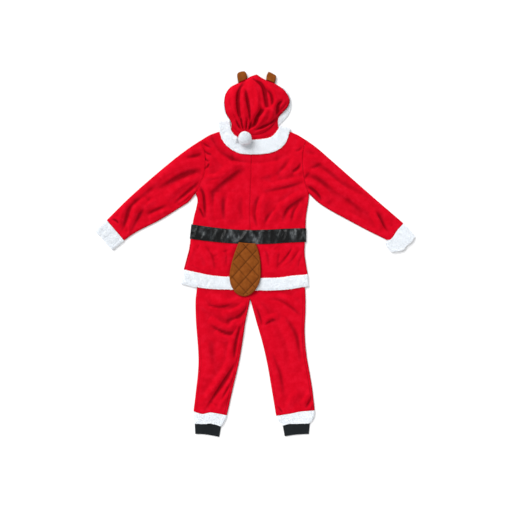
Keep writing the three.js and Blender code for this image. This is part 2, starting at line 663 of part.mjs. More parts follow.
// ---- Skirt of the jacket ----
const skirt = {
  left: edges.skirtSideLeft,
  right: edges.skirtSideRight,
  start: moved(beltMiddle, 0, -LAYER / 2),
  end: moved(edges.skirtFoot, 0, SEAM / 2),
};
const skirtFold = (p) => foldHeight(SKIRT_FOLDS, p) * (1 - beltBand(p));
const skirtLay = new Lay({
  rims: [skirt.left, skirt.right],
  low: frontLow,
  top: skirtTop,
  lift: skirtFold,
  parting: SEAM,
});
const SKIRT_ALONG = [0, 0.2, 0.36, 0.52, 0.68, 0.84, 1];
const SKIRT_ROLL_SHARE = 0.026;
const SKIRT_BACK_ACROSS = steps(15, SKIRT_ROLL_SHARE, SKIRT_ROLL_SHARE);
const SKIRT_FRONT_ACROSS = steps(10, SKIRT_ROLL_SHARE, SKIRT_ROLL_SHARE);
add("skirt_back", panel(skirt, skirtLay, "upper", fleeceWall, SKIRT_BACK_ACROSS, SKIRT_ALONG), redFleece);
add("skirt_front", panel(skirt, skirtLay, "lower", fleeceWall, SKIRT_FRONT_ACROSS, SKIRT_ALONG), redFleece);

const skirtTrim = {
  left: straight(edges.skirtFoot.at(0), edges.hem.at(0)),
  right: straight(edges.skirtFoot.at(1), edges.hem.at(1)),
  start: moved(edges.skirtFoot, 0, -SEAM / 2),
  end: edges.hem,
};
const trimWall = (full) => plushWall(full, [skirtTrim.start, skirtTrim.end]);
const backTrimWall = trimWall(PLUSH);
const trimLay = new Lay({
  rims: [skirtTrim.left, skirtTrim.right],
  radius: ROLL,
  low: floor,
  top: (p) => trouserTop(p) + LAYER + backTrimWall(p),
  middle: (p) => trimTop(p) / 2,
  parting: SEAM,
});
const flatPlushWall = () => FLAT_PLUSH;
const trimBack = panel(skirtTrim, trimLay, "upper", backTrimWall, SKIRT_BACK_ACROSS, PLUSH_STEPS);
const trimFront = panel(skirtTrim, trimLay, "lower", flatPlushWall, SKIRT_FRONT_ACROSS, steps(2));
add("skirt_trim_back", trimBack, whitePlush);
add("skirt_trim_front", trimFront, whitePlush);

// ---- Trousers ----
const trouserCentre = shareAtX(edges.trouserTop, CENTRE_X);
const trouserRims = bothSides("outseam", "inseam");
const trouserLay = new Lay({
  rims: trouserRims,
  low: trouserLow,
  top: trouserTop,
  lift: (p) => foldHeight(LEG_FOLDS, p) * (1 - skirtBand(p)),
  parting: SEAM,
});
const SEAT_SHARE = 0.34;
const LEG_ACROSS = steps(5, 0.07, 0.07);
const SEAT_ROWS = [0, 0.045, 0.085, 0.14, 0.19, 0.225, 0.27, 0.305];
const INSEAM_ROWS = [0.38, 0.44, 0.5, 0.57, 0.64, 0.71, 0.78, 0.85, 0.93, 1];
const LEG_ALONG = [...SEAT_ROWS, SEAT_SHARE, ...INSEAM_ROWS];
const FOOT_GAP = 1.3 * LAYER;
const RIB_GAP = 1.5 * LAYER;
for (const side of ["Left", "Right"]) {
  const name = side.toLowerCase();
  const left = side === "Left";
  const seatAndInseam = chain([edges.seat, edges[`inseam${side}`]], [0, SEAT_SHARE]);
  const inner = moved(seatAndInseam, left ? -SEAM / 2 : SEAM / 2, 0);
  const outer = edges[`outseam${side}`];
  const leg = {
    left: left ? outer : inner,
    right: left ? inner : outer,
    start: left ? stretch(edges.trouserTop, 0, trouserCentre) : stretch(edges.trouserTop, trouserCentre, 1),
    end: moved(edges[`legFoot${side}`], 0, FOOT_GAP),
  };
  add(`trouser_back_${name}`, panel(leg, trouserLay, "upper", fleeceWall, LEG_ACROSS, LEG_ALONG), redFleece);
  add(`trouser_front_${name}`, panel(leg, trouserLay, "lower", fleeceWall, LEG_ACROSS, LEG_ALONG), redFleece);

  const trim = {
    left: edges[left ? "ankleOutLeft" : "ankleInRight"],
    right: edges[left ? "ankleInLeft" : "ankleOutRight"],
    start: edges[`legFoot${side}`],
    end: edges[`ankleFoot${side}`],
  };
  const ankleRims = [trim.left, trim.right];
  const ankleLay = new Lay({ rims: ankleRims, radius: ANKLE_ROLL, low: floor, top: () => ANKLE_HEIGHT });
  const ankleWall = plushWall(PLUSH - 1, [trim.start, trim.end]);
  add(`ankle_trim_${name}`, tube(trim, ankleLay, ankleWall, LEG_ACROSS, PLUSH_STEPS), whitePlush);

  const rib = {
    left: edges[left ? "ribOutLeft" : "ribInRight"],
    right: edges[left ? "ribInLeft" : "ribOutRight"],
    start: moved(edges[`ankleFoot${side}`], 0, -RIB_GAP),
    end: edges[`ribFoot${side}`],
  };
  const ribLay = new Lay({
    rims: [rib.left, rib.right],
    radius: RIB_ROLL,
    low: floor,
    top: () => RIB_HEIGHT,
  });
  const ribSteps = steps(2 * RIB_COUNT, RIB_ROLL_SHARE, RIB_ROLL_SHARE);
  const relief = (i) => (i % 2 ? 0 : RIB_RELIEF * Math.sin((Math.PI * i) / (ribSteps.length - 1)) ** 0.3);
  const ribbed = tube(rib, ribLay, fleeceWall, ribSteps, steps(1), relief, RIB_LOWER_EVERY);
  add(`ankle_rib_${name}`, ribbed, blackRib);
}

// ---- Collar ----
const collarEnds = [0, 1].map((t) => straight(edges.collarInner.at(t), edges.collarOuter.at(t)));
const collar = {
  left: collarEnds[0],
  right: collarEnds[1],
  start: edges.collarInner,
  end: edges.collarOuter,
};
const collarWall = plushWall(PLUSH, [collar.start, collar.end]);
const collarLay = new Lay({
  rims: collarEnds,
  radius: COLLAR_ROLL,
  low: floor,
  top: (p) => collarLow(p) + collarWall(p),
  middle: (p) => (collarLow(p) + PLUSH) / 2,
  parting: SEAM,
});
const COLLAR_ACROSS = steps(18, 0.018, 0.018);
add("collar_back", panel(collar, collarLay, "upper", collarWall, COLLAR_ACROSS, PLUSH_STEPS), whitePlush);
add("collar_front", panel(collar, collarLay, "lower", flatPlushWall, COLLAR_ACROSS, steps(2)), whitePlush);

// ---- Hood ----
const HOOD_FOOT = PLUSH + LAYER;
const NECK_RISE = 14; // length over which the hood climbs from the neck seam onto its trim
const neckLines = [edges.neckLeft, edges.neckRight].map((edge) => samplesOf(edge, 16));
const hoodRims = bothSides("hoodSide", "hoodTop");
const hoodLay = new Lay({
  rims: hoodRims,
  low: floor,
  middle: () => HOOD_FOOT,
  top: (p) => {
    const away = smooth(0, NECK_RISE, distanceTo(neckLines, p));
    return mix(bodiceTop(p), HOOD_FOOT + FLEECE + HOOD_RISE, away);
  },
});
const NECK_GAP = 0.4;
const hoodLeft = {
  left: edges.hoodSideLeft,
  right: moved(edges.hoodSeam, -SEAM / 2, 0),
  start: moved(edges.neckLeft, 0, NECK_GAP),
  end: edges.hoodTopLeft,
};
const hoodRight = {
  left: moved(edges.hoodSeam, SEAM / 2, 0),
  right: edges.hoodSideRight,
  start: moved(reversed(edges.neckRight), 0, NECK_GAP),
  end: reversed(edges.hoodTopRight),
};
const HOOD_ALONG = steps(7, 0, 0.05);
const hoodRightAcross = fromSide("Right", NECK_ACROSS);
add("hood_left", panel(hoodLeft, hoodLay, "upper", fleeceWall, NECK_ACROSS, HOOD_ALONG), redFleece);
add("hood_right", panel(hoodRight, hoodLay, "upper", fleeceWall, hoodRightAcross, HOOD_ALONG), redFleece);

for (const side of ["Left", "Right"]) {
  const inner = edges[`faceInner${side}`];
  const outer = edges[`faceOuter${side}`];
  const shift = side === "Left" ? -SEAM / 2 : SEAM / 2;
  const strip = {
    left: moved(inner, shift, 0),
    right: moved(outer, shift, 0),
    start: moved(straight(inner.at(0), outer.at(0)), shift, 0),
    end: moved(straight(inner.at(1), outer.at(1)), shift, 0),
  };
  const stripRims = [inner, outer];
  const stripLay = new Lay({
    rims: stripRims,
    radius: HOOD_TRIM_ROLL,
    low: floor,
    top: () => PLUSH,
    parting: 1,
  });
  add(`hood_trim_${side.toLowerCase()}`, pad(strip, stripLay, PLUSH_STEPS, steps(12)), whitePlush);
}

// ---- Cap with its bobble ----
const CAP_FOOT_HEIGHT = HOOD_FOOT + FLEECE + HOOD_RISE + LAYER;
const cap = { left: edges.capLeft, right: edges.capRight, start: edges.capFoot, end: edges.capTop };
const capMiddle = new THREE.Vector3(10, 705, 0);
const capTop = (p) => {
  const spread = p.distanceTo(capMiddle) / CAP_SPAN;
  const gather = mix(CAP_GATHER, 1, smooth(GATHER_FROM, GATHER_TO, p.y));
  return CAP_FOOT_HEIGHT + CAP_RISE * (1 - CAP_DROOP * spread * spread) * gather;
};
const capLay = new Lay({
  rims: Object.values(cap),
  radius: CAP_ROLL,
  low: floor,
  middle: () => CAP_FOOT_HEIGHT,
  top: capTop,
  lift: (p) => foldHeight(CAP_FOLDS, p),
});
add("cap", panel(cap, capLay, "upper", fleeceWall, steps(13, 0.06, 0.06), steps(10, 0.05, 0.05)), redFleece);

/** A ball of short tufts: every face of a many-sided ball rises to a point of its own. */
function tuftedBall(radii, tuft) {
  const ball = new THREE.IcosahedronGeometry(1, 2);
  const corners = ball.getAttribute("position");
  const positions = [];
  const faces = [];
  const known = new Map();
  const indexOf = (p, key) => {
    if (!known.has(key)) {
      known.set(key, positions.length / 3);
      positions.push(p.x * radii.x, p.y * radii.y, p.z * radii.z);
    }
    return known.get(key);
  };
  for (let i = 0; i < corners.count; i += 3) {
    const triangle = [0, 1, 2].map((k) => new THREE.Vector3().fromBufferAttribute(corners, i + k));
    const ids = triangle.map((p) => {
      const key = p.toArray().map((c) => c.toFixed(4)).join();
      return indexOf(p.clone().multiplyScalar(1 - tuft), key);
    });
    const tip = triangle[0].clone().add(triangle[1]).add(triangle[2]).normalize();
    const tipId = indexOf(tip, `tip${i}`);
    faces.push(ids[0], ids[1], tipId, ids[1], ids[2], tipId, ids[2], ids[0], tipId);
  }
  return closedGeometry(positions, faces);
}

const BOBBLE_REST = 13.8;
const TUFT_SHARE = 0.12;
const bobble = tuftedBall(BOBBLE_RADII, TUFT_SHARE);
bobble.translate(BOBBLE_PLACE.x, BOBBLE_PLACE.y, BOBBLE_REST + BOBBLE_RADII.z);
add("bobble", bobble, whitePlush);

// ---- Antler stubs ----
const ANTLER_ROOTS = [
  { side: "Left", from: -80, to: -36, gap: 1.6 },
  { side: "Right", from: 54, to: 96, gap: 1 },
];
for (const { side, from, to, gap } of ANTLER_ROOTS) {
  const crown = side === "Left" ? edges.hoodTopLeft : reversed(edges.hoodTopRight);
  const root = moved(stretch(crown, shareAtX(crown, from), shareAtX(crown, to)), 0, gap);
  const outer = edges[`antlerOuter${side}`];
  const inner = edges[`antlerInner${side}`];
  const left = side === "Left" ? outer : inner;
  const right = side === "Left" ? inner : outer;
  const antler = { left, right, start: root, end: edges[`antlerTip${side}`] };
  const antlerLay = new Lay({
    rims: [left, right, antler.end],
    radius: ANTLER_ROLL,
    low: floor,
    top: () => ANTLER_THICKNESS,
    parting: 2,
  });
  const stub = pad(antler, antlerLay, steps(2, 0.22, 0.22), steps(3, 0, 0.2));
  add(`antler_${side.toLowerCase()}`, stub, brownFleece);
}

// ---- Tail ----
const tail = {
  left: edges.tailSideLeft,
  right: edges.tailSideRight,
  start: edges.tailTop,
  end: edges.tailFoot,
};
const quiltOrigin = { x: -43, y: -38 };

/** Quilting stitched along two families of slanting lines, which pull the padding down. */
const quilting = (p) => {
  const across = (p.x - quiltOrigin.x) * Math.sin(QUILT_ANGLE);
  const up = (p.y - quiltOrigin.y) * Math.cos(QUILT_ANGLE);
  const risen = [across + up, across - up].map((d) => Math.abs(Math.sin((Math.PI * d) / QUILT_PITCH)));
  const pillow = Math.min(...risen);
  return -QUILT_DEPTH * (1 - Math.sqrt(pillow));
};
const TAIL_EDGE = 6;
const tailLay = new Lay({
  rims: Object.values(tail),
  radius: ROLL,
  low: tailLow,
  middle: (p) => tailLow(p) + TAIL_EDGE,
  top: (p) => tailLow(p) + TAIL_THICKNESS,
  lift: quilting,
  parting: 2,
});
add("tail", pad(tail, tailLay, steps(8, 0.1, 0.1), steps(15, 0.05, 0.05)), brownFleece);

// The suit's box stands centred over the origin, with its underside at the height of the floor.
const box = new THREE.Box3().setFromObject(group);
const centre = box.getCenter(new THREE.Vector3());
group.position.set(-centre.x, -centre.y, -box.min.z);

export default group;
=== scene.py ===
"""Looks of a one-piece hooded Santa suit laid flat on its front."""

import logging
import math
from dataclasses import dataclass, field
from enum import Enum
from typing import Callable, Optional, Sequence

import bpy
import numpy as np
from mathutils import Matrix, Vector

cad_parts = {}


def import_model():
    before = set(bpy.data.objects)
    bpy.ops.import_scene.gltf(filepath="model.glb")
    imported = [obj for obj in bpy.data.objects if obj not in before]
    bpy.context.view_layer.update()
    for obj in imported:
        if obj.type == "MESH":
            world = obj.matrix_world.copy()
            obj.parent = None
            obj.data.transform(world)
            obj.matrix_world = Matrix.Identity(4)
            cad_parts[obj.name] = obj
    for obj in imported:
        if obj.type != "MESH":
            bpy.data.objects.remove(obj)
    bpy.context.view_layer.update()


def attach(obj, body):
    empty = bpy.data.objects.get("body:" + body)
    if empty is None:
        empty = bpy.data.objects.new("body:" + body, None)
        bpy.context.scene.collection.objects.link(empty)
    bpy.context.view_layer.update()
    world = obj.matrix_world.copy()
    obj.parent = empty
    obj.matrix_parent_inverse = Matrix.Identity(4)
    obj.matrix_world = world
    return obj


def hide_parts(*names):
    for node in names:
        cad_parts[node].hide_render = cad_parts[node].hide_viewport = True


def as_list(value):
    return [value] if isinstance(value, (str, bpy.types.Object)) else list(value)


log = logging.getLogger("suit")

Array = np.ndarray
Height = Callable[[Array], Array]
Pair = tuple[float, float]
Triple = tuple[float, float, float]
Steps = tuple[Array, Array]
Material = bpy.types.Material
Node = bpy.types.Node
NodeTree = bpy.types.GeometryNodeTree
Object = bpy.types.Object
Socket = bpy.types.NodeSocket

# Plan sizes are in millimetres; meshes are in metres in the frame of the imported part.
MM = 0.001
PLAN_SHIFT = (-0.5, 0.0)

# Thickness of each cloth (plush with its pile), and the gaps at seams and between layers.
FLEECE = 2.0
PLUSH = 7.0
VINYL = 1.2
SEAM = 0.3
LAYER = 0.8
# Air between the layers, roll of the edges, and how far a layer climbs over what is under it.
LOFT = 5.0
HIP_LOFT = 0.6
FOLD_SCALE = 1.8
ROLL = 14.0
FLAT_PLUSH = 2.6
RAMP = 28.0
COLLAR_HALF_WIDTH = 68.0
NECK_RISE = 14.0
HOOD_FOOT = PLUSH + LAYER
HOOD_RISE = 2.0
CAP_FOOT = HOOD_FOOT + FLEECE + HOOD_RISE + LAYER
TAIL_THICKNESS = 15.0
ARMPIT_SHARE = 0.36
SEAT_SHARE = 0.34
TAIL_TOP = 57.0
TAIL_BOTTOM = -203.0
TAIL_EDGES = ("tailTop", "tailSideLeft", "tailSideRight", "tailFoot")


class Side(Enum):
    """The two sides of the suit as seen from above."""

    LEFT = "Left"
    RIGHT = "Right"

    @property
    def sign(self) -> float:
        """Direction of the side along X."""
        return -1.0 if self is Side.LEFT else 1.0

    @property
    def low(self) -> str:
        """The side's name in the name of a node."""
        return self.value.lower()


class Cloth(Enum):
    """Material slots of the record."""

    FLEECE = "red_fleece"
    PLUSH = "white_plush"
    BROWN = "brown_fleece"
    BELT = "belt_vinyl"
    RIB = "black_rib"
    ZIP = "zip"


# Edges of the pieces in plan, each through a few points: x to the right and y up, in millimetres.
EDGES: dict[str, list[Pair]] = {
    "sideLeft": [(-304, 109), (-291, 183), (-281, 221), (-275, 262), (-285, 290)],
    "armholeLeft": [(-285, 290), (-266, 327), (-246, 375), (-238, 432), (-240, 490), (-261, 544)],
    "shoulderLeft": [(-261, 544), (-213, 572), (-170, 587), (-112, 603)],
    "overarmLeft": [(-261, 544), (-314, 509), (-390, 452), (-592, 279), (-710, 163)],
    "underarmLeft": [(-285, 290), (-316, 252), (-364, 220), (-455, 164), (-570, 105), (-627, 66)],
    "sideRight": [(242, 92), (246, 183), (252, 221), (258, 260), (260, 289)],
    "armholeRight": [(260, 289), (243, 336), (234, 389), (229, 447), (233, 500), (248, 545)],
    "shoulderRight": [(248, 545), (207, 570), (166, 588), (111, 610)],
    "overarmRight": [(248, 545), (296, 510), (363, 452), (560, 279), (712, 148)],
    "underarmRight": [(260, 289), (298, 252), (344, 220), (445, 164), (555, 106), (642, 64)],
    "neckLeft": [(-112, 603), (-100, 579), (-71, 558), (-18, 550)],
    "neckRight": [(111, 610), (99, 587), (73, 566), (34, 554), (-18, 550)],
    "centreBack": [(-21, 82), (-25, 188), (-22, 308), (-17, 466), (-18, 550)],
    "beltTop": [(-300, 143), (-221, 131), (-114, 119), (-21, 115), (82, 118), (156, 122), (242, 124)],
    "beltFoot": [(-308, 74), (-221, 62), (-114, 52), (-21, 48), (82, 50), (156, 55), (242, 59)],
    "skirtSideLeft": [(-304, 109), (-308, 74), (-311, 29), (-321, -14), (-336, -74)],
    "skirtSideRight": [(242, 92), (240, 59), (239, 0), (246, -52), (254, -97)],
    "skirtFoot": [
        (-339, -74), (-260, -92), (-201, -103), (-121, -109), (-23, -113), (107, -113), (180, -104),
        (254, -97),
    ],
    "hem": [(-355, -142), (-246, -163), (-114, -170), (-23, -172), (82, -174), (156, -169), (257, -153)],
    "trouserTop": [(-282, 92), (-150, 80), (-21, 70), (110, 72), (222, 80)],
    "seat": [(-21, 70), (-22, -76), (-22, -217)],
    "outseamLeft": [
        (-282, 92), (-278, -52), (-278, -163), (-284, -220), (-283, -307), (-270, -518), (-284, -672),
        (-294, -754),
    ],
    "inseamLeft": [(-22, -217), (-45, -326), (-60, -427), (-78, -528), (-105, -643), (-134, -773)],
    "inseamRight": [(-22, -217), (8, -326), (37, -427), (60, -528), (80, -643), (102, -775)],
    "outseamRight": [
        (222, 80), (229, -67), (242, -182), (243, -268), (239, -364), (246, -470), (274, -638),
        (287, -749),
    ],
    "legFootLeft": [(-294, -754), (-249, -766), (-215, -759), (-172, -765), (-134, -773)],
    "legFootRight": [(102, -775), (169, -765), (226, -754), (287, -749)],
    "ankleOutLeft": [(-294, -754), (-294, -788), (-288, -811)],
    "ankleInLeft": [(-134, -773), (-147, -802), (-162, -825)],
    "ankleFootLeft": [(-288, -811), (-244, -813), (-210, -811), (-162, -825)],
    "ribOutLeft": [(-288, -811), (-286, -862)],
    "ribInLeft": [(-162, -825), (-171, -876)],
    "ribFootLeft": [(-286, -862), (-239, -864), (-171, -876)],
    "ankleInRight": [(102, -775), (115, -799), (134, -821)],
    "ankleOutRight": [(287, -749), (281, -783), (264, -810)],
    "ankleFootRight": [(134, -821), (156, -814), (207, -812), (264, -810)],
    "ribInRight": [(134, -821), (143, -873)],
    "ribOutRight": [(264, -810), (259, -862)],
    "ribFootRight": [(143, -873), (200, -865), (259, -862)],
    "sleeveFootLeft": [(-710, 163), (-668, 114), (-627, 66)],
    "sleeveFootRight": [(712, 148), (687, 120), (671, 98), (657, 74), (642, 64)],
    "cuffTopLeft": [(-710, 163), (-766, 113)],
    "cuffLowLeft": [(-627, 66), (-683, 21)],
    "cuffEndLeft": [(-766, 113), (-724, 66), (-683, 21)],
    "cuffTopRight": [(712, 148), (745, 113), (767, 84)],
    "cuffLowRight": [(642, 64), (625, 60), (630, 40), (654, 10)],
    "cuffEndRight": [(767, 84), (751, 61), (728, 42), (711, 22), (654, 10)],
    "collarOuter": [
        (-170, 639), (-171, 596), (-147, 534), (-87, 488), (-9, 478), (90, 490), (144, 529), (171, 603),
    ],
    "collarInner": [
        (-122, 642), (-116, 602), (-103, 576), (-72, 554), (-18, 547), (35, 551), (75, 559), (107, 590),
        (119, 616),
    ],
    "hoodSideLeft": [(-112, 604), (-114, 632), (-136, 672), (-144, 720), (-140, 762), (-119, 795)],
    "hoodTopLeft": [(-119, 795), (-84, 818), (-50, 833), (-20, 851), (9, 861)],
    "hoodSideRight": [(111, 611), (113, 653), (140, 684), (160, 716), (160, 742), (135, 785)],
    "hoodTopRight": [(135, 785), (95, 818), (41, 840), (9, 861)],
    "hoodSeam": [(-18, 550), (-6, 668), (6, 764), (9, 861)],
    "faceOuterLeft": [
        (-16, 568), (-62, 578), (-97, 612), (-124, 645), (-149, 688), (-150, 725), (-134, 768),
        (-103, 794), (10, 836),
    ],
    "faceInnerLeft": [(-16, 625), (-48, 636), (-82, 682), (-90, 720), (-82, 748), (-47, 768), (10, 776)],
    "faceOuterRight": [
        (-16, 568), (39, 572), (87, 598), (120, 624), (165, 678), (173, 729), (151, 785), (98, 814),
        (10, 836),
    ],
    "faceInnerRight": [(-16, 625), (58, 656), (90, 680), (104, 712), (96, 740), (60, 764), (10, 776)],
    "capLeft": [
        (-70, 578), (-101, 602), (-117, 638), (-138, 672), (-145, 702), (-147, 734), (-141, 764),
        (-118, 797), (-86, 815), (-54, 826),
    ],
    "capTop": [(-54, 826), (-23, 846), (9, 855), (42, 836), (97, 815)],
    "capRight": [
        (-14, 570), (34, 578), (76, 606), (100, 637), (110, 659), (131, 677), (155, 700), (167, 729),
        (163, 752), (150, 773), (133, 792), (97, 815),
    ],
    "capFoot": [(-70, 578), (-42, 580), (-14, 570)],
    "tailTop": [(-77, 57), (-38, 53), (4, 51)],
    "tailSideLeft": [(-77, 57), (-99, -2), (-114, -56), (-121, -109), (-115, -146), (-97, -180)],
    "tailSideRight": [(4, 51), (18, 11), (27, -47), (27, -109), (19, -144), (2, -172)],
    "tailFoot": [(-97, -180), (-78, -195), (-50, -202), (-22, -193), (2, -172)],
    "antlerOuterLeft": [(-80, 826), (-84, 863), (-74, 872)],
    "antlerInnerLeft": [(-36, 844), (-42, 868), (-50, 876)],
    "antlerTipLeft": [(-74, 872), (-62, 875), (-50, 876)],
    "antlerOuterRight": [(96, 823), (102, 852), (99, 857)],
    "antlerInnerRight": [(54, 844), (57, 860), (66, 874)],
    "antlerTipRight": [(66, 874), (84, 866), (99, 857)],
}


@dataclass(frozen=True)
class Fold:
    """A crease: it passes some plan points, is so wide and so high, and leans to one side."""

    points: tuple[Pair, ...]
    width: float
    height: float
    lean: float = 0.0


@dataclass(frozen=True)
class Tuning:
    """One round of tuning: factors for the width and the height of ridges and of creases."""

    ridge: Pair
    crease: Pair

    def applied(self, width: float, height: float) -> Pair:
        """Width and height after the round, to a tenth of a millimetre."""
        wide, tall = self.ridge if height > 0 else self.crease
        return round(width * wide, 1), round(height * tall, 1)


# Rounds that follow each other; a row that came later skips the first ones.
NARROWER = Tuning((0.82, 1.0), (0.82, 1.0))
SOFTER = Tuning((1.12, 0.85), (0.85, 1.0))
DEEPER = Tuning((1.05, 1.1), (1.25, 0.95))
CLOTH_ROUNDS = (NARROWER, SOFTER, DEEPER)
SKIRT_ROUNDS = (NARROWER, Tuning((1.1, 0.6), (0.9, 0.55)))
CAP_ROUNDS = (Tuning((0.85, 1.15), (0.85, 1.15)),)


def folds(*rows: tuple, rounds: Sequence[Tuning] = ()) -> tuple[Fold, ...]:
    """Folds from rows of points, width, height, lean and how many rounds of tuning the row skips."""
    made = []
    for points, width, height, *rest in rows:
        lean, skipped = (*rest, 0, 0)[:2]
        for tuning in rounds[skipped:]:
            width, height = tuning.applied(width, height)
        made.append(Fold(points, width, height, lean))
    return tuple(made)


BODY_FOLDS = folds(
    (((-30, 432), (-105, 376), (-160, 334), (-222, 280)), 13, -2.1, 0.3, 1),
    (((-50, 456), (-120, 408), (-178, 356), (-228, 300)), 24, 4.2, -0.3, 2),
    (((-60, 492), (-110, 470), (-180, 452)), 24, 3),
    (((-266, 330), (-246, 285), (-241, 230), (-238, 166)), 9, -3.4, 0.2),
    (((-278, 300), (-262, 262), (-262, 215)), 12, 4),
    (((-236, 330), (-222, 278), (-216, 215), (-212, 165)), 16, 5.5, -0.2),
    (((-268, 226), (-254, 198), (-244, 170)), 6, -3),
    (((-180, 300), (-188, 240), (-182, 170)), 18, 3, 0.2),
    (((-108, 300), (-116, 240), (-112, 160)), 20, 2.6),
    (((-150, 280), (-152, 220), (-148, 160)), 13, -2.2),
    (((-64, 280), (-68, 220), (-60, 160)), 16, -1.8),
    (((-246, 470), (-234, 452), (-214, 441)), 4, -3, 0.2, 2),
    (((-216, 438), (-226, 420), (-243, 406)), 4, -2.4, 0, 2),
    (((-232, 470), (-212, 446), (-204, 420)), 10, 4),
    (((-250, 500), (-225, 482), (-205, 476)), 7, -2.8),
    (((-258, 536), (-232, 520), (-200, 506)), 8, -2.8, 0.2),
    (((-240, 552), (-205, 532), (-170, 522)), 11, 3.6),
    (((-236, 362), (-205, 356), (-164, 360)), 4, -1.3, 0, 2),
    (((-238, 372), (-200, 368), (-160, 380)), 12, 3),
    (((20, 282), (4, 240), (-2, 190), (10, 126)), 11, -3.2, -0.3),
    (((50, 290), (28, 240), (24, 190), (32, 130)), 17, 5, 0.3),
    (((120, 236), (82, 200), (52, 160), (40, 130)), 12, -2.4),
    (((140, 250), (104, 214), (76, 170), (64, 132)), 16, 3.4),
    (((254, 286), (200, 250), (156, 214), (128, 150)), 12, -2.8, 0.2),
    (((240, 300), (190, 272), (142, 238), (112, 190)), 17, 4.2),
    (((238, 350), (190, 332), (120, 314), (46, 300)), 10, -2),
    (((236, 368), (180, 352), (110, 334), (40, 326)), 14, 2.8),
    (((164, 462), (132, 410), (84, 376), (18, 358)), 14, -1.8),
    (((196, 470), (168, 414), (120, 376)), 18, 3.4),
    (((222, 440), (206, 412), (176, 392)), 8, -2.6),
    (((228, 404), (208, 388), (184, 380)), 10, 3),
    (((236, 520), (212, 500), (190, 494)), 9, -2.2),
    (((232, 240), (206, 200), (196, 150)), 14, 3.4),
    (((214, 246), (184, 200), (172, 150)), 10, -2.4),
    (((90, 470), (96, 410), (80, 350)), 26, 2.6),
    (((-120, 452), (-60, 430), (-24, 440)), 24, 2.4),
    rounds=CLOTH_ROUNDS,
)
LEFT_SLEEVE_FOLDS = folds(
    (((-262, 352), (-300, 318), (-340, 284), (-388, 240)), 10, -3.4, 0.3),
    (((-258, 374), (-312, 348), (-366, 318), (-424, 268)), 17, 5.6, -0.2),
    (((-278, 312), (-318, 276), (-360, 240)), 9, 3.6),
    (((-292, 300), (-326, 262), (-372, 232)), 7, -2.8),
    (((-254, 402), (-320, 388), (-400, 352), (-478, 306)), 13, -2.6),
    (((-250, 440), (-330, 430), (-420, 372), (-500, 318)), 22, 4),
    (((-350, 408), (-440, 356), (-530, 286), (-580, 240)), 14, -2.4, 0.2),
    (((-300, 480), (-390, 424), (-480, 350)), 18, 3),
    (((-470, 262), (-520, 232), (-556, 196)), 14, 3.6),
    (((-548, 272), (-594, 230), (-612, 176), (-638, 104)), 11, -3.4, -0.3),
    (((-520, 270), (-566, 224), (-588, 168), (-606, 112)), 17, 5.6, 0.3),
    (((-498, 274), (-532, 222), (-568, 158), (-590, 112)), 10, -2.8),
    (((-582, 262), (-632, 206), (-650, 150)), 14, 4.4),
    (((-684, 168), (-662, 158), (-652, 144)), 6, -3),
    (((-668, 178), (-646, 160), (-640, 140)), 6, 3),
    (((-612, 150), (-600, 120), (-606, 92)), 8, 3.4),
    (((-250, 482), (-285, 470), (-330, 462)), 10, -2.4),
    (((-246, 506), (-284, 500), (-330, 486)), 12, 3),
    (((-400, 218), (-450, 196), (-510, 166)), 12, 3.4),
    (((-420, 236), (-470, 214), (-520, 190)), 8, -2.2),
    rounds=CLOTH_ROUNDS,
)
RIGHT_SLEEVE_FOLDS = folds(
    (((240, 330), (276, 314), (304, 284), (322, 248)), 9, -3.4, -0.3),
    (((238, 352), (290, 330), (330, 294), (352, 250)), 16, 5, 0.2),
    (((250, 300), (282, 284), (302, 258)), 8, 3.4),
    (((236, 382), (300, 358), (360, 312), (398, 264)), 12, -0.4, 0, 2),
    (((234, 410), (310, 390), (390, 328), (450, 268)), 18, 3.6),
    (((240, 407), (288, 417), (318, 437)), 6, -2, 0, 2),
    (((237, 357), (250, 380), (270, 398)), 5, -1.8, 0, 2),
    (((236, 470), (310, 456), (380, 404), (440, 350)), 18, 3.4),
    (((410, 345), (480, 312), (535, 285), (595, 237)), 12, -1.5, 0, 2),
    (((360, 350), (450, 288), (540, 226), (590, 180)), 18, 3.4),
    (((400, 300), (470, 240), (520, 190)), 11, -1.2, 0, 2),
    (((580, 205), (602, 165), (622, 128), (646, 98)), 7, -2.8, 0.3, 2),
    (((556, 206), (588, 164), (606, 120)), 15, 4.4, -0.3),
    (((606, 226), (640, 182), (660, 140)), 14, 4),
    (((668, 176), (654, 150), (650, 120)), 7, -1, 0, 2),
    (((238, 512), (276, 500), (316, 476)), 10, 2.6),
    (((430, 200), (480, 172), (540, 140)), 12, 2.8),
    rounds=CLOTH_ROUNDS,
)
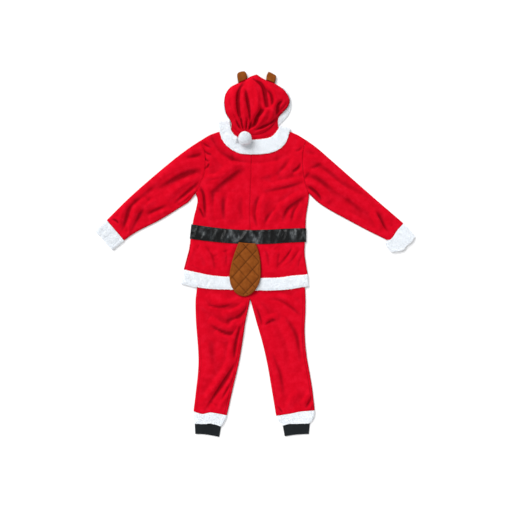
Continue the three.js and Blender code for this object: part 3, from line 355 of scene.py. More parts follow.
SKIRT_FOLDS = folds(
    (((-262, 44), (-232, -12), (-214, -86)), 17, 3, 0.2),
    (((-288, 44), (-298, 12), (-318, -30)), 10, 2.6),
    (((-240, 44), (-206, -6), (-190, -80)), 10, -2.4),
    (((-176, 40), (-160, -22), (-156, -92)), 16, 2.6),
    (((-140, 38), (-136, -20), (-140, -80)), 9, -2.2),
    (((-98, 30), (-116, 4), (-160, -18), (-206, -40)), 9, 2.4),
    (((-100, 10), (-140, -14), (-200, -30)), 7, -2),
    (((38, 40), (58, 0), (66, -60)), 9, -2.4),
    (((56, 38), (84, -10), (92, -92)), 15, 3),
    (((120, 38), (112, -20), (104, -80)), 9, -2),
    (((182, 42), (154, -10), (108, -66)), 8, -2.6, 0.2),
    (((204, 42), (172, -16), (134, -72)), 13, 3.2, -0.2),
    (((232, 30), (206, -20), (176, -80)), 12, 2.4),
    (((60, 24), (100, 8), (136, 22)), 8, 1.8),
    (((-220, 20), (-190, 6), (-150, 14)), 9, 1.6),
    (((-201, -14), (-160, 8), (-119, 20)), 4, -1.1, 0.3, 2),
    (((-192, -36), (-150, -10), (-112, 4)), 4, -0.9, 0, 2),
    (((-304, -50), (-282, -66), (-257, -78)), 5, -1.2, 0, 2),
    (((-278, 24), (-268, 40), (-260, 52)), 4, -1, 0, 2),
    (((101, -63), (140, -22), (181, 27)), 4, -1.3, 0.3, 2),
    (((142, -63), (180, -24), (215, 23)), 4, -1.1, 0.3, 2),
    (((69, 20), (84, 36), (96, 46)), 4, -1, 0, 2),
    (((92, 22), (108, 34), (124, 42)), 4, -0.9, 0, 2),
    (((206, -66), (214, -30), (232, 4)), 5, -1, 0, 2),
    rounds=SKIRT_ROUNDS,
)
LEG_FOLDS = folds(
    (((-216, -334), (-158, -370), (-112, -380), (-86, -334)), 12, -3.6, 0.3),
    (((-220, -306), (-160, -344), (-118, -350), (-86, -300)), 18, 6, -0.2),
    (((-190, -366), (-150, -398), (-108, -404)), 14, 3.6),
    (((-28, -240), (-74, -298), (-138, -320)), 8, -3),
    (((-32, -226), (-90, -268), (-160, -288)), 13, 4.6),
    (((-24, -262), (-52, -320), (-88, -346)), 9, 3.4),
    (((-60, -212), (-130, -232), (-210, -226)), 13, 3.2),
    (((-90, -226), (-160, -252), (-236, -244)), 8, -2.4),
    (((-262, -214), (-224, -256), (-176, -262)), 12, 2.8),
    (((-68, -336), (-92, -424), (-100, -500)), 9, -3, 0.2),
    (((-48, -330), (-72, -420), (-84, -500)), 10, 4),
    (((-90, -352), (-112, -430), (-124, -520)), 14, 3.8),
    (((-82, -500), (-104, -540), (-150, -610), (-246, -757)), 10, -3.6, 0.3),
    (((-104, -490), (-132, -540), (-184, -620), (-262, -724)), 18, 5.4, -0.2),
    (((-94, -546), (-120, -612), (-154, -664)), 9, 3.6),
    (((-98, -580), (-134, -650), (-160, -700)), 7, -2.6),
    (((-112, -642), (-142, -690), (-176, -744)), 12, 3.8),
    (((-240, -420), (-226, -500), (-230, -600)), 22, 2.8),
    (((-206, -410), (-212, -470), (-214, -540)), 17, -1.7, 0, 2),
    (((-168, -740), (-190, -720), (-222, -706)), 7, -1.1, 0, 2),
    (((44, -214), (112, -216), (170, -250), (222, -296)), 12, -2.4, 0.2),
    (((40, -196), (118, -196), (182, -232), (232, -276)), 17, 3.6, -0.2),
    (((-6, -224), (30, -258), (60, -300)), 10, 3.2),
    (((4, -250), (24, -300), (36, -350)), 7, -2.4),
    (((48, -338), (72, -322), (100, -312)), 7, -3),
    (((42, -322), (76, -302), (112, -294)), 11, 3.6),
    (((140, -296), (190, -372), (212, -450), (214, -520)), 14, -2.2),
    (((118, -310), (162, -390), (186, -480), (190, -560)), 24, 3.2),
    (((230, -330), (222, -400), (228, -470)), 10, 2.6),
    (((60, -470), (96, -560), (112, -660)), 18, 2.8),
    (((78, -470), (122, -580), (140, -690)), 12, -1.8),
    (((274, -680), (258, -712), (240, -738)), 8, -3),
    (((282, -700), (272, -726), (256, -744)), 7, 3.2),
    (((262, -650), (246, -690), (220, -722)), 13, 3),
    (((112, -730), (124, -748), (136, -762)), 6, -2.6),
    (((150, -744), (170, -700), (200, -650)), 16, 2.6),
    rounds=CLOTH_ROUNDS,
)
CAP_FOLDS = folds(
    (((-56, 820), (-79, 768), (-82, 700), (-68, 626)), 9, -12.5, 0.3, 1),
    (((-90, 806), (-108, 740), (-104, 670), (-80, 610)), 20, 7),
    (((-46, 790), (-33, 722), (-24, 672), (-22, 612)), 6.5, -11.5, -0.2, 1),
    (((-58, 800), (-57, 730), (-52, 670), (-44, 606)), 12, 6.9, 0, 1),
    (((-16, 842), (34, 800), (50, 736), (56, 684)), 12, -12, 0.3),
    (((-36, 836), (2, 776), (14, 706), (8, 640)), 20, 9, -0.2),
    (((-10, 800), (0, 740), (-6, 680)), 9, -4),
    (((54, 790), (76, 760), (84, 726), (80, 700)), 9, -9),
    (((38, 826), (70, 796), (94, 760), (100, 720)), 17, 7),
    (((48, 690), (14, 652), (2, 620), (-30, 598)), 12, -15, -0.3),
    (((66, 696), (36, 640), (10, 606)), 13, 8),
    (((140, 734), (112, 712), (102, 660), (74, 616)), 11, -11, 0.2),
    (((118, 748), (92, 700), (84, 650), (50, 606)), 15, 6),
    (((160, 728), (128, 690), (112, 672)), 8, -7),
    (((-122, 740), (-104, 672), (-70, 606)), 8, -6),
    (((110, 650), (64, 616), (-8, 588)), 10, -9),
    (((96, 630), (50, 598), (0, 582)), 7, 6),
    (((-66, 650), (-60, 614), (-52, 584)), 6, -8),
    (((-36, 650), (-40, 612), (-42, 584)), 6, -8),
    (((-12, 640), (-24, 606), (-32, 584)), 6, -7),
    (((-92, 640), (-76, 610), (-60, 586)), 6, -7),
    (((20, 740), (26, 690), (10, 650)), 10, -5),
    (((-10, 850), (20, 830), (60, 820)), 9, 5),
    rounds=CAP_ROUNDS,
)
# Creases across the belt: x of the middle, width, height and lean, all in millimetres.
BELT_CREASES = (
    (-288, 10, 3.6, 12),
    (-246, 12, 3.4, 16),
    (-190, 13, 4.2, 10),
    (-146, 16, 5.4, 14),
    (-96, 10, 3.2, -12),
    (-52, 15, 5.2, 22),
    (-8, 11, 2.6, -10),
    (30, 13, 3.8, 20),
    (72, 11, 3.4, 8),
    (112, 9, 2.6, 16),
    (150, 14, 4.2, 6),
    (196, 13, 4.4, 4),
    (228, 9, 3.8, 10),
)


def belt_folds() -> tuple[Fold, ...]:
    """A ridge across the belt for each row, with a narrow crease on its right."""
    rows = []
    for x, width, height, lean in BELT_CREASES:
        ridge = ((x + lean, 122), (x + lean // 4, 88), (x - lean, 54))
        crease = ((x + width + lean, 120), (x + width + 4, 90), (x + width - lean, 58))
        rows += [(ridge, width, height, 0.3), (crease, 5, -1.4)]
    return folds(*rows)


BELT_FOLDS = belt_folds()
CUFF_FOLDS = {
    Side.LEFT: folds(
        (((-700, 148), (-714, 118), (-742, 98)), 8, -2.6),
        (((-672, 112), (-700, 86), (-716, 74)), 7, -2.0),
        (((-640, 84), (-660, 58), (-684, 48)), 8, -2.4),
        (((-690, 140), (-712, 100), (-736, 84)), 12, 2.0),
    ),
    Side.RIGHT: folds(
        (((700, 138), (712, 112), (738, 92)), 8, -3.2),
        (((676, 104), (700, 84), (728, 78)), 7, -3.4, 0.2),
        (((660, 78), (682, 58), (706, 44)), 8, -3.0),
        (((644, 58), (658, 40), (672, 24)), 7, -3.0),
        (((690, 120), (716, 92), (742, 70)), 12, 2.6),
        (((664, 90), (690, 66), (716, 52)), 12, 2.4),
    ),
}


# ---- Plan curves and patches ----
@dataclass(frozen=True)
class Line:
    """A plan curve, held as points at even steps of its share from 0 to 1."""

    points: Array

    COUNT = 240

    @staticmethod
    def of(at: Callable[[Array], Array]) -> "Line":
        """Line through the places that a function gives for each share."""
        return Line(at(np.linspace(0, 1, Line.COUNT + 1)))

    @staticmethod
    def through(stops: Sequence[Pair]) -> "Line":
        """Smooth line through some stops, measured along its length."""
        path = smooth_path(np.array(stops, float))
        reach = np.concatenate([[0], np.cumsum(np.linalg.norm(np.diff(path, axis=0), axis=1))])
        return Line.of(lambda t: spread(t * reach[-1], reach, path))

    @staticmethod
    def chain(first: "Line", second: "Line", knot: float) -> "Line":
        """Two lines in a row; the first one ends at the share called knot."""
        before = lambda t: first.at(t / knot)
        after = lambda t: second.at((t - knot) / (1 - knot))
        return Line.of(lambda t: np.where((t <= knot)[:, None], before(t), after(t)))

    def at(self, share: Array) -> Array:
        """Places at some shares of the line."""
        return spread(np.clip(share, 0, 1), np.linspace(0, 1, len(self.points)), self.points)

    def reversed(self) -> "Line":
        """The same line from its other end."""
        return Line(self.points[::-1])

    def moved(self, x: float, y: float) -> "Line":
        """The line moved across the plan."""
        return Line(self.points + (x, y))

    def stretch(self, start: float, end: float) -> "Line":
        """A stretch of the line."""
        return Line.of(lambda t: self.at(start + (end - start) * t))

    def between(self, other: "Line", share: float) -> "Line":
        """A line between this one and another."""
        return Line(self.points * (1 - share) + other.points * share)

    def widened(self, extra: float) -> "Line":
        """The line made longer at both ends along X."""
        shift = np.linspace(-extra, extra, len(self.points))
        return Line(self.points + np.stack([shift, np.zeros(len(shift))], 1))

    def share_at_x(self, x: float) -> float:
        """Share at which a line that runs across the suit passes one x."""
        order = np.argsort(self.points[:, 0])
        return float(np.interp(x, self.points[order, 0], np.linspace(0, 1, len(self.points))[order]))

    def coarse(self, count: int = 40) -> Array:
        """A few points of the line, for measuring distances."""
        return self.at(np.linspace(0, 1, count + 1))


def straight_ends(first: Line, second: Line) -> list[Line]:
    """The two straight lines that join the starts and the ends of two lines."""
    return [Line(np.linspace(first.points[k], second.points[k], Line.COUNT + 1)) for k in (0, -1)]


def spread(values: Array, knots: Array, points: Array) -> Array:
    """Points looked up along a table of knots."""
    return np.stack([np.interp(values, knots, points[:, k]) for k in range(points.shape[1])], -1)


def smooth_path(stops: Array, per_span: int = 16) -> Array:
    """Dense points of a smooth curve that passes the stops."""
    if len(stops) < 3:
        return stops
    around = np.vstack([2 * stops[0] - stops[1], stops, 2 * stops[-1] - stops[-2]])
    gaps = np.linalg.norm(np.diff(around, axis=0), axis=1) ** 0.5
    w = np.linspace(0, 1, per_span + 1)[1:, None]
    parts = [stops[:1]]
    for k in range(len(stops) - 1):
        before, here, there, after = around[k : k + 4]
        d0, d1, d2 = gaps[k : k + 3]
        leave = ((here - before) / d0 - (there - before) / (d0 + d1) + (there - here) / d1) * d1
        arrive = ((there - here) / d1 - (after - here) / (d1 + d2) + (after - there) / d2) * d1
        bend = 3 * (there - here) - 2 * leave - arrive
        parts.append(here + leave * w + bend * w**2 + (2 * (here - there) + leave + arrive) * w**3)
    return np.vstack(parts)


LINES = {name: Line.through(stops) for name, stops in EDGES.items()}


@dataclass(frozen=True)
class Patch:
    """Plan of one piece of cloth between four lines: left and right run along it, start and end across it."""

    left: Line
    right: Line
    start: Line
    end: Line

    def grid(self, across: Array, along: Array) -> Array:
        """Places of a grid of shares, one row for each step along."""
        u, v = across[None, :, None], along[:, None, None]
        sides = self.left.at(along)[:, None] * (1 - u) + self.right.at(along)[:, None] * u
        ends = self.start.at(across)[None] * (1 - v) + self.end.at(across)[None] * v
        corners = self.left.points[0] * (1 - u) * (1 - v) + self.right.points[0] * u * (1 - v)
        return sides + ends - corners - self.left.points[-1] * (1 - u) * v - self.right.points[-1] * u * v

    def cut(self, layers: int = 1) -> tuple[Pair, float]:
        """Width and length, and area, in metres; layers is 2 for a tube that lies flat."""
        share = np.linspace(0, 1, 41)
        grid = self.grid(share, share)
        steps = lambda axis: np.linalg.norm(np.diff(grid, axis=axis), axis=2).sum(axis)
        wide, long = float(steps(1).max()) * MM * layers, float(steps(0).max()) * MM
        a, b = np.diff(grid, axis=1)[:-1], np.diff(grid, axis=0)[:, :-1]
        area = float(np.abs(a[..., 0] * b[..., 1] - a[..., 1] * b[..., 0]).sum()) * MM * MM * layers
        return (wide, long), min(area, wide * long)


def smoothstep(low: Array | float, high: Array | float, value: Array) -> Array:
    """0 below low, 1 above high and smooth between."""
    t = np.clip((value - low) / (high - low), 0, 1)
    return t * t * (3 - 2 * t)


def mix(low: Array | float, high: Array | float, share: Array | float) -> Array:
    """Value between low and high."""
    return low + (high - low) * share


def nearest(places: Array, path: Array) -> tuple[Array, Array, Array, Array]:
    """Distances of places from a path, their sides (1 or -1), their shares of it and the feet on it."""
    start, run = path[:-1], np.diff(path, axis=0)
    length = np.linalg.norm(run, axis=1)
    reach = np.concatenate([[0], np.cumsum(length)])
    out = [np.empty(len(places)), np.empty(len(places)), np.empty(len(places)), np.empty((len(places), 2))]
    for low in range(0, len(places), 8192):
        some = slice(low, low + 8192)
        gap = places[some, None] - start[None]
        share = np.clip((gap * run).sum(2) / np.maximum((run**2).sum(1), 1e-9), 0, 1)
        off = gap - run * share[..., None]
        far = (off**2).sum(2)
        k = far.argmin(1)
        row = np.arange(len(k))
        out[0][some] = np.sqrt(far[row, k])
        out[1][some] = np.sign(run[k, 0] * gap[row, k, 1] - run[k, 1] * gap[row, k, 0])
        out[2][some] = (reach[k] + share[row, k] * length[k]) / reach[-1]
        out[3][some] = start[k] + run[k] * share[row, k, None]
    return out[0], out[1], out[2], out[3]


def distance(places: Array, lines: Sequence[Line]) -> Array:
    """Distance of places from the nearest of some lines."""
    return np.min([nearest(places, line.coarse())[0] for line in lines], axis=0)


def fold_height(table: Sequence[Fold], places: Array) -> Array:
    """Height that folds add at each place; one side of a leaning fold is steeper."""
    height = np.zeros(len(places))
    for fold in table:
        path = smooth_path(np.array(fold.points, float), 6)
        reach = 3 * fold.width * (1 + abs(fold.lean))
        low, high = path.min(0) - reach, path.max(0) + reach
        near = np.nonzero(((places > low) & (places < high)).all(1))[0]
        if not len(near):
            continue
        gap, side, share, _ = nearest(places[near], path)
        width = fold.width * (1 + fold.lean * side)
        fade = np.sin(np.pi * np.clip(share, 0.0, 1.0)) ** 0.7
        height[near] += fold.height * fade * np.exp(-((gap / width) ** 2))
    return height


@dataclass(frozen=True)
class Unrest:
    """Smooth seeded noise over the plan, from -1 to 1: the small unevenness of real cloth."""

    seed: int
    size: int = 64

    def at(self, places: Array, pitch_x: float, pitch_y: Optional[float] = None, turn: float = 0.0) -> Array:
        """Noise at some places, by the size of a swell along X and Y and the turn of the grain in degrees."""
        table = np.random.default_rng(self.seed).uniform(-1, 1, (self.size, self.size))
        c, s = math.cos(math.radians(turn)), math.sin(math.radians(turn))
        x = (places[:, 0] * c + places[:, 1] * s) / pitch_x + 1000
        y = (places[:, 1] * c - places[:, 0] * s) / (pitch_y or pitch_x) + 1000
        i, j = np.floor(x).astype(int), np.floor(y).astype(int)
        u, v = smoothstep(0, 1, x - i), smoothstep(0, 1, y - j)
        pick = lambda a, b: table[(i + a) % self.size, (j + b) % self.size]
        return mix(mix(pick(0, 0), pick(1, 0), u), mix(pick(0, 1), pick(1, 1), u), v)


# ---- Heights of the layers, from the floor up ----
def crossing(name: str, places: Array) -> Array:
    """Height on the plan of an edge that runs across the suit."""
    x, y = zip(*EDGES[name])
    return np.interp(places[:, 0], x, y)


def band(places: Array, low_name: str, high_name: str) -> Array:
    """1 between two edges that run across the suit, fading to 0 outside them."""
    low, high = crossing(low_name, places) - 3, crossing(high_name, places) + 3
    y = places[:, 1]
    return np.minimum(smoothstep(low - RAMP, low, y), 1 - smoothstep(high, high + RAMP, y))


def belt_band(places: Array) -> Array:
    """Where the belt lies."""
    return band(places, "beltFoot", "beltTop")


def trim_band(places: Array) -> Array:
    """Where the trim of the skirt lies."""
    return band(places, "hem", "skirtFoot")


def skirt_band(places: Array) -> Array:
    """Where the skirt lies on the trousers."""
    return smoothstep(crossing("hem", places) - 1.6 * RAMP, crossing("hem", places) - 3, places[:, 1])


COLLAR_MIDDLE = LINES["collarOuter"].between(LINES["collarInner"], 0.5)


def collar_band(places: Array) -> Array:
    """Where the collar lies, with the room that it needs."""
    return 1 - smoothstep(COLLAR_HALF_WIDTH, COLLAR_HALF_WIDTH + RAMP, distance(places, [COLLAR_MIDDLE]))


def floor(places: Array) -> Array:
    """Height of the floor."""
    return np.zeros(len(places))


def level(height: float) -> Height:
    """One height all over."""
    return lambda places: np.full(len(places), height)


def front_low(places: Array) -> Array:
    """Lower face of the front of the bodice and skirt."""
    return np.maximum((VINYL + LAYER) * belt_band(places), (FLAT_PLUSH + LAYER) * collar_band(places))


def trouser_low(places: Array) -> Array:
    """Lower face of the trousers."""
    over_skirt = (FLEECE + LAYER) * skirt_band(places)
    return over_skirt + (VINYL + LAYER) * belt_band(places) + (FLAT_PLUSH - FLEECE) * trim_band(places)


def trouser_top(places: Array) -> Array:
    """Upper face of the trousers."""
    return trouser_low(places) + 2 * FLEECE + mix(LOFT, HIP_LOFT, skirt_band(places))


def skirt_top(places: Array) -> Array:
    """Upper face of the skirt."""
    return trouser_top(places) + LAYER + FLEECE


def bodice_top(places: Array) -> Array:
    """Upper face of the bodice."""
    free = front_low(places) + 2 * FLEECE + mix(LOFT, HIP_LOFT, collar_band(places))
    seam = crossing("beltTop", places) + 3
    return mix(skirt_top(places), free, smoothstep(seam, seam + 2 * RAMP, places[:, 1]))


def tail_low(places: Array) -> Array:
    """Lower face of the tail, over the belt, the skirt and its trim."""
    over_belt = (VINYL + LAYER) * belt_band(places)
    return skirt_top(places) + over_belt + (PLUSH - FLEECE) * trim_band(places) + LAYER


@dataclass(frozen=True)
class Lay:
    """Cloth laid on the floor or on other cloth: it rolls over at its rims and folds stand up from it."""

    rims: tuple[Line, ...]
    low: Height
    top: Height
    radius: float = ROLL
    middle: Optional[Height] = None
    lift: Height = floor
    under: Height = floor
    parting: float = 0.0

    def face(self, grid: Array, inside: Array, wall: Array | float, upper: bool) -> tuple[Array, Array]:
        """Outer and inner points of one layer, in rows; each place has another one further inside."""
        places, within = grid.reshape(-1, 2), inside.reshape(-1, 2)
        gaps = [nearest(places, rim.coarse()) for rim in self.rims]
        far = np.array([gap[0] for gap in gaps])
        k, row = far.argmin(0), np.arange(len(places))
        near, foot = far[k, row], np.array([gap[3] for gap in gaps])[k, row]
        inward = np.where((near > 1)[:, None], places - foot, within - places)
        inward /= np.maximum(np.linalg.norm(inward, axis=1), 1e-6)[:, None]
        cos = 1 - np.clip(near / self.radius, 0, 1)
        sin = np.sqrt(1 - cos**2)
        low, top = self.low(places), self.top(places)
        middle = self.middle(places) if self.middle else (low + top) / 2
        middle = middle + (self.parting / 2 if upper else -self.parting / 2)
        goal = top + self.lift(places) if upper else low + self.under(places)
        outer = np.column_stack([places, middle + (goal - middle) * sin])
        thick = np.broadcast_to(np.asarray(wall, float).reshape(-1), (len(places),))
        inner = outer + np.column_stack([inward * (thick * cos)[:, None], (-1 if upper else 1) * thick * sin])
        return outer.reshape(*grid.shape[:2], 3), inner.reshape(*grid.shape[:2], 3)


def eased(count: int, start: bool = True, end: bool = True) -> Array:
    """Steps from 0 to 1 that are closer together near the chosen ends."""
    t = np.linspace(0, 1, count + 1)
    if start and end:
        return t - 0.6 * np.sin(2 * np.pi * t) / (2 * np.pi)
    if start:
        return t - 0.8 * np.sin(np.pi * t) / np.pi
    return t + 0.8 * np.sin(np.pi * t) / np.pi if end else t


# ---- Finishes ----
class Shader:
    """A principled material whose nodes are added one by one."""

    def __init__(self, name: str, **settings: float | tuple) -> None:
        """Makes the material and sets the constants of its shader."""
        self.material = bpy.data.materials.new(name)
        self.material.use_nodes = True
        self.nodes = self.material.node_tree.nodes
        self.principled = self.nodes["Principled BSDF"]
        for socket, value in settings.items():
            self.principled.inputs[socket.replace("_", " ")].default_value = value
        self.place = self.add("ShaderNodeTexCoord").outputs["Object"]

    def add(self, kind: str, **values: object) -> Node:
        """A node; each value sets an attribute, or is what goes into an input (I0 is the first one)."""
        node = self.nodes.new(kind)
        for name, value in values.items():
            if hasattr(node, name) and name.islower():
                setattr(node, name, value)
                continue
            numbered = name[0] == "I" and name[1:].isdigit()
            socket = node.inputs[int(name[1:]) if numbered else name]
            if isinstance(value, Socket):
                self.link(value, socket)
            else:
                socket.default_value = value
        return node

    def link(self, start: Socket, end: Socket | str) -> None:
        """Links an output to an input, or to a named input of the shader."""
        self.material.node_tree.links.new(start, self.principled.inputs[end] if isinstance(end, str) else end)

    def grain(self, scale: float, detail: float = 3.0, squash: Triple = (1, 1, 1)) -> Socket:
        """Noise over the object, so many swells to the metre."""
        where = self.add("ShaderNodeMapping", Vector=self.place, Scale=squash)
        noise = self.add("ShaderNodeTexNoise", Vector=where.outputs[0], Scale=scale, Detail=detail)
        return noise.outputs["Fac"]

    def tones(self, by: Socket, *stops: tuple[float, Triple]) -> Socket:
        """Colours looked up along a ramp."""
        ramp = self.add("ShaderNodeValToRGB", I0=by)
        elements = ramp.color_ramp.elements
        for i, (place, colour) in enumerate(stops):
            stop = elements[i] if i < 2 else elements.new(place)
            stop.position = place
            stop.color = (*colour, 1)
        return ramp.outputs[0]

    def with_painted_crease_shade(self, colour: Socket, loss: float) -> Socket:
        """A colour that loses a share of itself where the cloth lies in a crease: painted shade."""
        # Painted shade: the colour is darkened by a share where the cloth lies in a crease.
        depth = self.add("ShaderNodeAttribute", attribute_name="painted_crease_shade").outputs["Fac"]
        kept = self.add("ShaderNodeMath", operation="MULTIPLY_ADD", I0=depth, I1=-loss, I2=1.0).outputs[0]
        return self.add("ShaderNodeVectorMath", operation="SCALE", Vector=colour, Scale=kept).outputs[0]

    def between(self, by: Socket, low: float, high: float) -> Socket:
        """A number between two limits."""
        return self.add("ShaderNodeMapRange", Value=by, **{"To Min": low, "To Max": high}).outputs[0]

    def bump(self, *layers: tuple[Socket, float, float]) -> None:
        """Bumps on top of each other: height, strength and depth in metres."""
        normal = None
        for height, strength, depth in layers:
            node = self.add("ShaderNodeBump", Height=height, Strength=strength, Distance=depth)
            if normal:
                self.link(normal, node.inputs["Normal"])
            normal = node.outputs[0]
        self.link(normal, "Normal")


@dataclass(frozen=True)
class FleeceFinish:
    """Brushed fleece: a short matt nap with soft patches where it lies another way, and painted shade in its
    creases.
    """

    name: str
    dark: Triple
    body: Triple
    light: Triple
    nap: float = 900.0
    patches: float = 40.0
    loss: float = 0.5

    def build(self) -> Material:
        """The material."""
        shader = Shader(
            self.name,
            Roughness=0.92,
            Specular_IOR_Level=0.04,
            Sheen_Weight=0.05,
            Sheen_Roughness=0.5,
            Sheen_Tint=(*self.light, 1),
        )
        lay = shader.grain(self.patches, 5)
        nap = shader.grain(self.nap, 2)
        mixed = shader.add("ShaderNodeMath", operation="MULTIPLY_ADD", I0=nap, I1=0.6, I2=lay)
        tones = shader.tones(mixed.outputs[0], (0.55, self.dark), (0.8, self.body), (1.0, self.light))
        # Painted shade: the colour is darkened in creases by the depth stored on the mesh.
        shader.link(shader.with_painted_crease_shade(tones, self.loss), "Base Color")
        shader.bump((nap, 0.35, 0.0008), (shader.grain(210, 3), 0.25, 0.0012))
        return shader.material


@dataclass(frozen=True)
class PlushFinish:
    """White short-pile plush; its colour is darker and cooler where its bump is low, as painted shade between
    the tufts.
    """

    name: str = "white_plush"

    def build(self) -> Material:
        """The material."""
        shader = Shader(
            self.name,
            Roughness=0.95,
            Specular_IOR_Level=0.15,
            Sheen_Weight=0.25,
            Sheen_Roughness=0.6,
            Subsurface_Weight=0.35,
            Subsurface_Radius=(0.006, 0.006, 0.006),
        )
        tufts = shader.grain(190, 4)
        # Painted shade: the colour is darker and cooler where the bump noise is low, between the tufts.
        tones = shader.tones(
            tufts, (0.3, (0.80, 0.845, 0.895)), (0.5, (0.845, 0.88, 0.92)), (0.68, (0.87, 0.90, 0.935))
        )
        shader.link(tones, "Base Color")
        shader.bump((tufts, 0.3, 0.0012), (shader.grain(800, 2), 0.2, 0.0006))
        return shader.material


@dataclass(frozen=True)
class BeltFinish:
    """Thin glossy coated cloth, crackled, with soft grey patches painted into its colour as glints."""

    name: str = "belt_vinyl"

    def build(self) -> Material:
        """The material."""
        shader = Shader(self.name, Specular_IOR_Level=0.2)
        # Painted glints: soft grey patches in the colour stand in for reflections off the creases; the same
        # noise varies the roughness.
        painted_glint_patches = shader.grain(34, 4, (1, 0.6, 1))
        grain = shader.add("ShaderNodeTexVoronoi", Vector=shader.place, Scale=900).outputs["Distance"]
        tones = shader.tones(
            painted_glint_patches,
            (0.42, (0.0006, 0.001, 0.0012)),
            (0.5, (0.006, 0.0075, 0.008)),
            (0.58, (0.022, 0.025, 0.027)),
            (0.7, (0.11, 0.12, 0.125)),
        )
        shader.link(tones, "Base Color")
        shader.link(shader.between(painted_glint_patches, 0.28, 0.46), "Roughness")
        crumple = shader.grain(38, 2, (1, 0.45, 1))
        shader.bump((grain, 0.08, 0.0003), (crumple, 0.5, 0.005), (shader.grain(120, 1), 0.15, 0.001))
        return shader.material


@dataclass(frozen=True)
class KnitFinish:
    """Black ribbed jersey with small stitches along each rib."""

    name: str = "black_rib"

    def build(self) -> Material:
        """The material."""
        shader = Shader(self.name, Roughness=0.88, Specular_IOR_Level=0.15, Sheen_Weight=0.03)
        wave = {"Scale": 170, "Distortion": 1.5, "bands_direction": "Y"}
        stitch = shader.add("ShaderNodeTexWave", Vector=shader.place, **wave)
        fuzz = shader.grain(600, 3)
        tones = shader.tones(fuzz, (0.35, (0.006, 0.008, 0.010)), (0.7, (0.014, 0.018, 0.021)))
        shader.link(tones, "Base Color")
        shader.bump((stitch.outputs["Fac"], 0.3, 0.0008), (fuzz, 0.3, 0.0005))
        return shader.material


@dataclass(frozen=True)
class ThreadFinish:
    """Twisted sewing thread."""

    name: str
    colour: Triple

    def build(self) -> Material:
        """The material."""
        shader = Shader(self.name, Roughness=0.6, Specular_IOR_Level=0.1)
        twist = shader.grain(1500, 2)
        darker = tuple(0.7 * c for c in self.colour)
        shader.link(shader.tones(twist, (0.35, darker), (0.65, self.colour)), "Base Color")
        shader.bump((twist, 0.3, 0.0003))
        return shader.material


@dataclass(frozen=True)
class FloorFinish:
    """Seamless pale studio floor."""

    name: str = "studio_floor"

    def build(self) -> Material:
        """The material."""
        shader = Shader(self.name, Roughness=0.9, Specular_IOR_Level=0.1)
        shade = shader.grain(3, 2)
        tones = shader.tones(shade, (0.4, (0.93, 0.93, 0.935)), (0.6, (0.94, 0.94, 0.945)))
        shader.link(tones, "Base Color")
        return shader.material


class Finishes:
    """All the finishes of the suit, built once."""

    def __init__(self) -> None:
        """Builds each material."""
        # The last number of each fleece is how far its colour is darkened in creases, as painted shade.
        red = FleeceFinish(
            "red_fleece", (0.52, 0.0008, 0.010), (0.58, 0.0014, 0.013), (0.63, 0.0035, 0.019), loss=0.6
        )
        brown = FleeceFinish(
            "brown_fleece", (0.175, 0.045, 0.007), (0.215, 0.058, 0.009), (0.25, 0.071, 0.012), 700, 45, 0.6
        )
        self.cloth = {
            Cloth.FLEECE: red.build(),
            Cloth.PLUSH: PlushFinish().build(),
            Cloth.BROWN: brown.build(),
            Cloth.BELT: BeltFinish().build(),
            Cloth.RIB: KnitFinish().build(),
            Cloth.ZIP: ThreadFinish("zip", (0.32, 0.003, 0.01)).build(),
        }
        self.thread = {
            Cloth.FLEECE: ThreadFinish("red_thread", (0.30, 0.002, 0.008)).build(),
            Cloth.PLUSH: ThreadFinish("white_thread", (0.62, 0.66, 0.72)).build(),
            Cloth.BROWN: ThreadFinish("brown_thread", (0.06, 0.018, 0.004)).build(),
            Cloth.BELT: ThreadFinish("black_thread", (0.03, 0.033, 0.036)).build(),
        }


# ---- Meshes ----
def placed(name: str, data: bpy.types.ID) -> Object:
    """A new object in the scene."""
    made = bpy.data.objects.new(name, data)
    bpy.context.scene.collection.objects.link(made)
    return made


def mesh_object(
    name: str, points: Array, faces: Array | list, material: Material, crease: float = 60
) -> Object:
    """A smooth mesh from plan points in millimetres; edges that turn more than crease degrees stay sharp."""
    mesh = bpy.data.meshes.new(name)
    shifted = (np.asarray(points, float).reshape(-1, 3) + (*PLAN_SHIFT, 0)) * MM
    mesh.from_pydata(shifted.tolist(), [], faces.tolist() if isinstance(faces, Array) else faces)
    mesh.materials.append(material)
    mesh.shade_smooth()
    mesh.set_sharp_from_angle(angle=math.radians(crease))
    layer = mesh.uv_layers.new(name="plan")
    corner = np.empty(len(mesh.loops), np.int32)
    mesh.loops.foreach_get("vertex_index", corner)
    layer.uv.foreach_set("vector", shifted[corner, :2].astype(np.float32).ravel())
    return placed(name, mesh)


def wall_faces(rows: int, columns: int, ring: bool) -> Array:
    """Faces of a closed wall between two grids of points; a ring of columns makes a tube with open ends."""
    r, c = np.meshgrid(np.arange(rows - 1), np.arange(columns if ring else columns - 1), indexing="ij")
    out = lambda row, column: row * columns + column % columns
    inn = lambda row, column: rows * columns + out(row, column)
    quads = [
        np.stack([out(r, c), out(r, c + 1), out(r + 1, c + 1), out(r + 1, c)], -1).reshape(-1, 4),
        np.stack([inn(r, c), inn(r + 1, c), inn(r + 1, c + 1), inn(r, c + 1)], -1).reshape(-1, 4),
    ]
    k = np.arange(columns if ring else columns - 1)
    end = rows - 1
    quads.append(np.stack([out(0, k), inn(0, k), inn(0, k + 1), out(0, k + 1)], -1))
    quads.append(np.stack([out(end, k), out(end, k + 1), inn(end, k + 1), inn(end, k)], -1))
    if not ring:
        k, last = np.arange(rows - 1), columns - 1
        quads.append(np.stack([out(k, 0), out(k + 1, 0), inn(k + 1, 0), inn(k, 0)], -1))
        quads.append(np.stack([out(k, last), inn(k, last), inn(k + 1, last), out(k + 1, last)], -1))
    return np.concatenate(quads)


